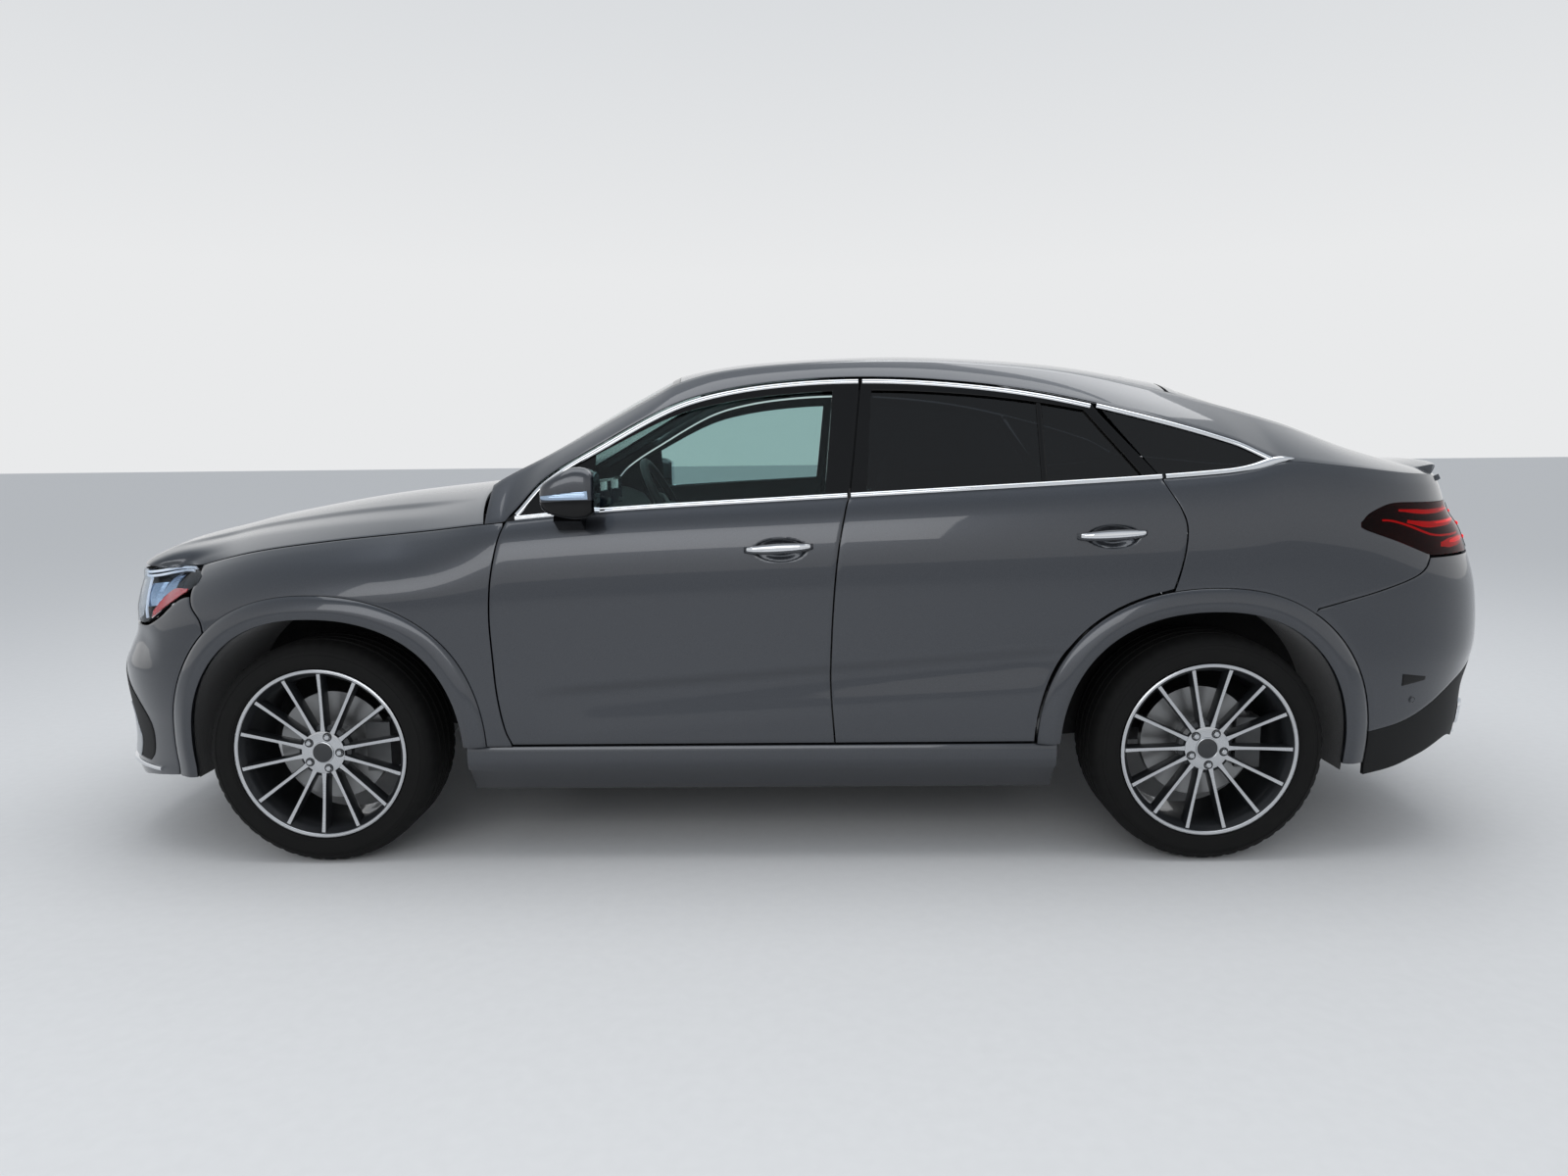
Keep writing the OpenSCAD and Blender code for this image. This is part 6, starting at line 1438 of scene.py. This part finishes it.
for side, sign in SIDE_SIGNS:
    mirror.on(sign).piece(
        f"{side}_door_mirror", [paint, gloss_black, reflector, mirror_silver], f"front_{side}_door_body",
        [f"{side}_mirror"], "body_paint")


# Cabin: a padded dashboard with a twin screen, the steering wheel, two front seats and a rear bench.
# Moulded foam under black leather on steel frames, bolted to the floor and the bulkhead.
# Leather: soft black hide with a 4 mm pebble and a slight sheen
leather, tree, shader, place = finish("black_leather", "#1E1E20", 0.48, Sheen_Weight=0.15)
pebble = add(tree, "TexVoronoi", {"Vector": place, "Scale": per_mm(4)})
add(tree, "Bump", {"Height": pebble.outputs["Distance"], "Strength": 0.3, "Distance": 0.0008},
    shader.inputs["Normal"])
wear = add(tree, "TexNoise", {"Vector": place, "Scale": per_mm(90), "Detail": 3.0})
add(tree, "MapRange", {"Value": wear.outputs["Fac"], "To Min": 0.38, "To Max": 0.58}, shader.inputs["Roughness"])
# Screen glass: black with a faint blue glow of a blank display
screen, tree, shader, place = finish("blank_display", "#05070A", 0.08, Coat_Weight=1.0, Emission_Strength=0.03)
shader.inputs["Emission Color"].default_value = linear("#3C5A80")
smear = add(tree, "TexNoise", {"Vector": place, "Scale": per_mm(40), "Detail": 3.0})
add(tree, "MapRange", {"Value": smear.outputs["Fac"], "To Min": 0.05, "To Max": 0.16}, shader.inputs["Roughness"])

BULKHEAD, DASH_HALF = -985, 756
DASH_PROFILE = [(0, 560), (0, 1172), (40, 1198), (120, 1211), (220, 1198), (296, 1170), (330, 1130), (345, 1095),
                (330, 1045), (290, 960), (266, 860), (250, 700), (232, 640), (122, 560)]
loops = []
for y in np.linspace(-DASH_HALF, DASH_HALF, 33):
    bow = 1 - (y / DASH_HALF) ** 4
    loops.append([(BULKHEAD + px * (0.9 + 0.1 * bow), y, pz - 10 * (1 - bow) * (pz > 900)) for px, pz in DASH_PROFILE])
dash = Surface().bar(loops)
COLUMN = np.array([-455.0, -380.0, 1160.0])
COLUMN_LEAN = math.radians(28)
COLUMN_AXIS = np.array([-math.cos(COLUMN_LEAN), 0, -math.sin(COLUMN_LEAN)])
COLUMN_UP = np.array([-math.sin(COLUMN_LEAN), 0, math.cos(COLUMN_LEAN)])


def about_column(radius, depth, degrees):
    """A point about the steering axis: depth towards the dashboard, degrees from the top."""
    radius, depth, a = np.broadcast_arrays(radius, depth, np.radians(degrees))
    return (COLUMN + np.multiply.outer(depth, COLUMN_AXIS) + np.multiply.outer(radius * np.cos(a), COLUMN_UP)
            + np.multiply.outer(radius * np.sin(a), [0, 1, 0]))


around = np.arange(24) * 15.0
dash.bar([about_column(r, d, around) for r, d in ((23, 12), (24, 30), (40, 70), (46, 120), (48, 220))])
# The console on the tunnel, its rise to the dash and its pad
dash.box((-790, -112, 430), (150, 112, 600)).box((-855, -112, 590), (-725, 112, 720))
dash.box((-600, -104, 598), (120, 104, 640))
dash.piece("dashboard_pad", [soft_trim], "body", ["dashboard"], "soft_trim", edge=10)
# The screens, the air vents below them and the console's tray and lever
screens = Surface()
screens.box((-698, -560, 1160), (-684, -60, 1264), 0).box((-683.5, -552, 1168), (-682, -330, 1256), 1)
screens.box((-683.5, -318, 1168), (-682, -70, 1256), 1)
for y in (-690, -150, 0, 150, 690):
    screens.box((-660, y - 46, 1052), (-640, y + 46, 1092), 0)
screens.box((-600, -92, 640), (-360, 92, 645), 0).box((-330, -60, 640), (-230, 60, 655), 0)
screens.box((-300, -30, 652), (-250, 30, 700), 0)
screens.piece("dashboard_screens", [gloss_black, screen], "body", slot="black_plastic", edge=3)

RIM_MIDDLE, RIM_THICK = 185, 15
sweep = np.arange(72) * 5.0
rim = Surface().grid([about_column(RIM_MIDDLE + RIM_THICK * math.cos(q), RIM_THICK * math.sin(q), sweep)
                      for q in np.arange(17) % 16 * math.pi / 8], ring=True)
rim.bar([about_column(r, d, around) for r, d in ((30, -8), (52, -4), (62, 6), (62, 30), (40, 44))])
for at in (90, 270, 180):
    q = np.linspace(0, 1, 8)
    radius = 50 + 126 * q
    for shift, tint in ((0.0, 0), (-5.0, 1)):
        path = about_column(radius, 6 + shift - 6 * (1 - q), at)
        width = (40 - 10 * np.sin(math.pi * q)) * (1 if tint == 0 else 0.35)
        rim.join(ribbon(path, width, 7, -COLUMN_AXIS, tint=tint))
rim.piece("steering_wheel_rim", [leather, satin_silver], "steering_body", ["steering_wheel"], "soft_trim")


def cushion(centre, half, lean, seams, power=0.42):
    """A crowned pad leaning back by some degrees, its sides drawn in and sewn into channels across its width."""
    pad = rounded((0, 0, 0), half, power, (36, 72))
    crown = 1 - 0.10 * (np.abs(pad[..., 0]) / half[0]) ** 2 - 0.06 * (np.abs(pad[..., 1]) / half[1]) ** 2
    pad[..., 2] *= crown
    for seam in seams:
        face = np.sign(pad[..., 2]) * (np.abs(pad[..., 2]) > half[2] * 0.3)
        pad[..., 2] -= face * 5 * np.exp(-((pad[..., 1] - seam) / 8) ** 2)
    pull = 1 - 0.025 * np.cos(pad[..., 1] / half[1] * math.pi / 2)
    pad[..., 0] *= pull
    c, s = math.cos(math.radians(lean)), math.sin(math.radians(lean))
    turned_pad = np.stack([pad[..., 0] * c + pad[..., 2] * s, pad[..., 1], pad[..., 2] * c - pad[..., 0] * s], -1)
    return Surface().grid(turned_pad + np.asarray(centre, float), ring=True)


SEAT_X, SEAT_Y = -30, -400
SEAT_SEAMS, BENCH_SEAMS = (-150, -75, 0, 75, 150), (-430, -215, 0, 215, 430)
front = cushion((SEAT_X - 40, SEAT_Y, 596), (250, 262, 62), -4, SEAT_SEAMS)
front.join(cushion((SEAT_X + 282, SEAT_Y, 890), (285, 255, 66), -72, SEAT_SEAMS))
front.join(cushion((SEAT_X + 398, SEAT_Y, 1262), (80, 135, 44), -78, ()))
for y in (-232, 232):
    front.join(cushion((SEAT_X - 50, SEAT_Y + y, 622), (230, 36, 48), -4, ()))
    front.join(cushion((SEAT_X + 262, SEAT_Y + y, 880), (250, 32, 76), -72, ()))
seats = front.both().piece("front_seat_pads", [leather], "body", ["front_seats"], "soft_trim", sharp=60)
bases = Surface().box((SEAT_X - 250, SEAT_Y - 225, 276), (SEAT_X + 235, SEAT_Y + 225, 545))
for y in (-60, 60):
    post = [(SEAT_X + 372 + 14 * q, SEAT_Y + y, 1150 + 60 * q) for q in np.linspace(0, 1, 6)]
    bases.join(ribbon(post, 12, 8, (-1, 0, 0), tint=1))
bases.both().piece("front_seat_bases", [soft_trim, chrome], "body", slot="soft_trim", edge=14)
bench = cushion((662, 0, 612), (190, 615, 58), -4, BENCH_SEAMS)
bench.join(cushion((922, 0, 895), (262, 612, 62), -69, BENCH_SEAMS))
for y in (-400, 0, 400):
    bench.join(cushion((1022, y, 1160), (58, 130, 40), -74, ()))
bench_piece = bench.piece("rear_bench_pads", [leather], "body", ["rear_seat"], "soft_trim", sharp=60)
Surface().box((475, -600, 428), (700, 600, 565)).piece(
    "rear_bench_base", [soft_trim], "body", slot="soft_trim", edge=14)


# Small outer parts: cowl and wipers, number plate, parking sensors and rear corner fins.
# Moulded black plastic and pressed steel, clipped or screwed on; the number plate is blank.
vs = np.linspace(-0.98, 0.98, 60)
hood_edge = hood_skin(1.0, vs) - [-6, 0, 26]
glass_edge = windshield(WINDSHIELD_FOOT, vs) - [0, 0, 3]
cowl = np.stack([hood_edge, lerp(hood_edge, glass_edge, 0.5) - [0, 0, 6], glass_edge])
small = shell(cowl, cowl - [0, 0, 6])
for first, last, base in ((-0.62, 0.02, -0.66), (0.02, 0.66, -0.02)):
    v = np.linspace(first, last, 30)
    wiper = windshield(WINDSHIELD_FOOT + 18 + 40 * (v - first) / (last - first), v) + [0, 0, 7]
    small.join(ribbon(wiper, 9, 9, (-0.6, 0, 0.8)))
    pivot = windshield(WINDSHIELD_FOOT, base) + [-18, 0, 2]
    arm = [lerp(pivot, wiper[15] + [0, 0, 10], q) + [0, 0, 12 * math.sin(math.pi * q)] for q in np.linspace(0, 1, 12)]
    small.join(ribbon(arm, 13, 6, (-0.6, 0, 0.8)))
small.piece("cowl_and_wipers", [grained], "body", slot="black_plastic")

# Plate: white reflective sheet with a fine cell pattern and a black rim
plate_white, tree, shader, place = finish("reflective_sheet", "#E8E9E6", 0.4)
cell = add(tree, "TexVoronoi", {"Vector": place, "Scale": per_mm(4)})
add(tree, "Mix", {0: cell.outputs["Distance"], 6: linear("#EDEEEB"), 7: linear("#DCDDDA")},
    shader.inputs["Base Color"], data_type="RGBA")
face = on_tailgate(np.linspace(-255, 255, 24)[None], np.linspace(908, 1012, 5)[:, None], -10.0)
plate = shell(face, face - [3, 0, 0], tint=1)
rim_face = on_tailgate(np.linspace(-263, 263, 24)[None], np.linspace(900, 1020, 5)[:, None], -12.5)
plate.join(shell(rim_face, rim_face - [4, 0, 0], tint=0))
plate.piece("number_plate", [gloss_black, plate_white], "tailgate_body", slot="black_plastic", edge=1)


def skin_frame(x, z):
    """A place on the left skin with its outward and upward directions."""
    p, q, r = left(x, z), left(x + 4.0, z), left(x, z + 4.0)
    up = (r - p) / np.linalg.norm(r - p)
    out = np.cross(q - p, up)
    out /= np.linalg.norm(out)
    return p, out * -np.sign(out[1]), up


# Sensor rings by radius and how far they stand out
SENSOR = ((12, -2), (12, 1.5), (10.5, 2), (10, 0.5), (8.5, 0.5), (8, 2), (0.3, 2.4))
REAR_OUT, REAR_UP = np.array([1.0, 0, 0]), np.array([0, 0, 1.0])
places = [skin_frame(x, z) for x, z in ((-2060.0, 440.0), (2035.0, 534.0))]
places += [(rear_cover(f, 690.0), REAR_OUT, REAR_UP) for f in (0.2, 0.45)]
dots = Surface()
for p, out, up in places:
    side = np.cross(up, out)
    dots.grid([[p + (side * math.cos(a) + up * math.sin(a)) * r + out * d for a in np.arange(20) * math.pi / 10]
               for r, d in SENSOR], ring=True)
dots.both().piece("parking_sensors", [paint], "body", slot="body_paint")
# A small dark fin low on each rear corner, tapering to the rear
FIN_FRONT, FIN_REAR, FIN_HEIGHT = 1990, 2080, 604
x, z = np.linspace(FIN_FRONT, FIN_REAR, 14)[None], np.linspace(-1, 1, 6)[:, None]
fin = left(x, FIN_HEIGHT + z * (20 - 14 * (x - FIN_FRONT) / (FIN_REAR - FIN_FRONT)), -2.0)
shell(fin, inward(fin, 5)).both().piece("rear_side_fins", [gloss_black], "body", slot="black_plastic", edge=1)


# Studio: a pale floor of seamless paper, rolled out flat, under an even sky.
# A broad soft box hangs overhead and two stand at the sides; the camera stands where the picture was taken.
# Seamless paper: matt near-white with a faint 40 mm mottle
paper, tree, shader, place = finish("seamless_paper", "#DCDDDE", 0.9)
mottle = add(tree, "TexNoise", {"Vector": place, "Scale": per_mm(40), "Detail": 2.0})
add(tree, "Mix", {0: mottle.outputs["Fac"], 6: linear("#D9DADB"), 7: linear("#DFE0E1")},
    shader.inputs["Base Color"], data_type="RGBA")
bpy.ops.mesh.primitive_plane_add(size=120)
floor = bpy.context.object
floor.name = "studio_floor"
floor.data.materials.append(paper)

world = bpy.context.scene.world or bpy.data.worlds.new("studio")
bpy.context.scene.world = world
world.use_nodes = True
tree = world.node_tree
tree.nodes.clear()
# Camera, mirror-like and see-through rays meet a pale backdrop; all others meet the light of an even sky
ray = add(tree, "LightPath", {})
seen = add(tree, "Math", {0: ray.outputs["Is Camera Ray"], 1: ray.outputs["Is Glossy Ray"]}, operation="ADD")
seen = add(tree, "Math", {0: seen.outputs[0], 1: ray.outputs["Is Transmission Ray"]}, operation="ADD", use_clamp=True)
up = add(tree, "SeparateXYZ", {"Vector": add(tree, "TexCoord", {}).outputs["Generated"]})
height = add(tree, "MapRange", {"Value": up.outputs["Z"], "From Min": 0.15, "From Max": 0.9})
pale = add(tree, "Mix", {0: height.outputs["Result"], 6: linear("#E9EAEB"), 7: linear("#AEB6BF")}, data_type="RGBA")
backdrop = add(tree, "Background", {"Color": pale.outputs[2], "Strength": 1.0})
sky = add(tree, "Background", {"Color": linear("#E6EAEF"), "Strength": 0.78})
mixed = add(tree, "MixShader", {0: seen.outputs[0], 1: sky.outputs["Background"], 2: backdrop.outputs["Background"]})
add(tree, "OutputWorld", {"Surface": mixed.outputs["Shader"]})


def soft_light(name, place, aim, size, power):
    """A rectangular soft box that looks at a point."""
    lamp = bpy.data.lights.new(name, "AREA")
    lamp.shape = "RECTANGLE"
    lamp.size, lamp.size_y = size
    lamp.energy = power
    made = bpy.data.objects.new(name, lamp)
    made.location = place
    made.rotation_euler = (Vector(aim) - Vector(place)).to_track_quat("-Z", "Y").to_euler()
    bpy.context.scene.collection.objects.link(made)


soft_light("overhead_box", (0, -0.5, 5.5), (0, 0, 0), (7.0, 4.0), 130)
soft_light("near_box", (-1.5, -7.0, 3.6), (0, 0, 0.7), (6.0, 2.5), 85)
soft_light("far_box", (2.5, 4.5, 6.5), (0, 0, 0.8), (5.0, 2.5), 60)

camera_data = bpy.data.cameras.new("camera")
camera_data.sensor_width = 36
camera_data.lens = 24.3
camera = bpy.data.objects.new("camera", camera_data)
CAMERA_PLACE = (0.039, -4.341, 1.393)
YAW, PITCH, ROLL = (math.radians(a) for a in (-0.980, 7.850, -0.639))
ahead = Vector((math.sin(YAW) * math.cos(PITCH), math.cos(YAW) * math.cos(PITCH), -math.sin(PITCH)))
flat_right = Vector((math.cos(YAW), -math.sin(YAW), 0))
flat_up = flat_right.cross(ahead)
right = flat_right * math.cos(ROLL) + flat_up * math.sin(ROLL)
upward = flat_up * math.cos(ROLL) - flat_right * math.sin(ROLL)
axes = Matrix((right, upward, -ahead)).transposed()
camera.matrix_world = Matrix.Translation(CAMERA_PLACE) @ axes.to_4x4()
bpy.context.scene.collection.objects.link(camera)
bpy.context.scene.camera = camera
bpy.context.scene.view_settings.view_transform = "Standard"
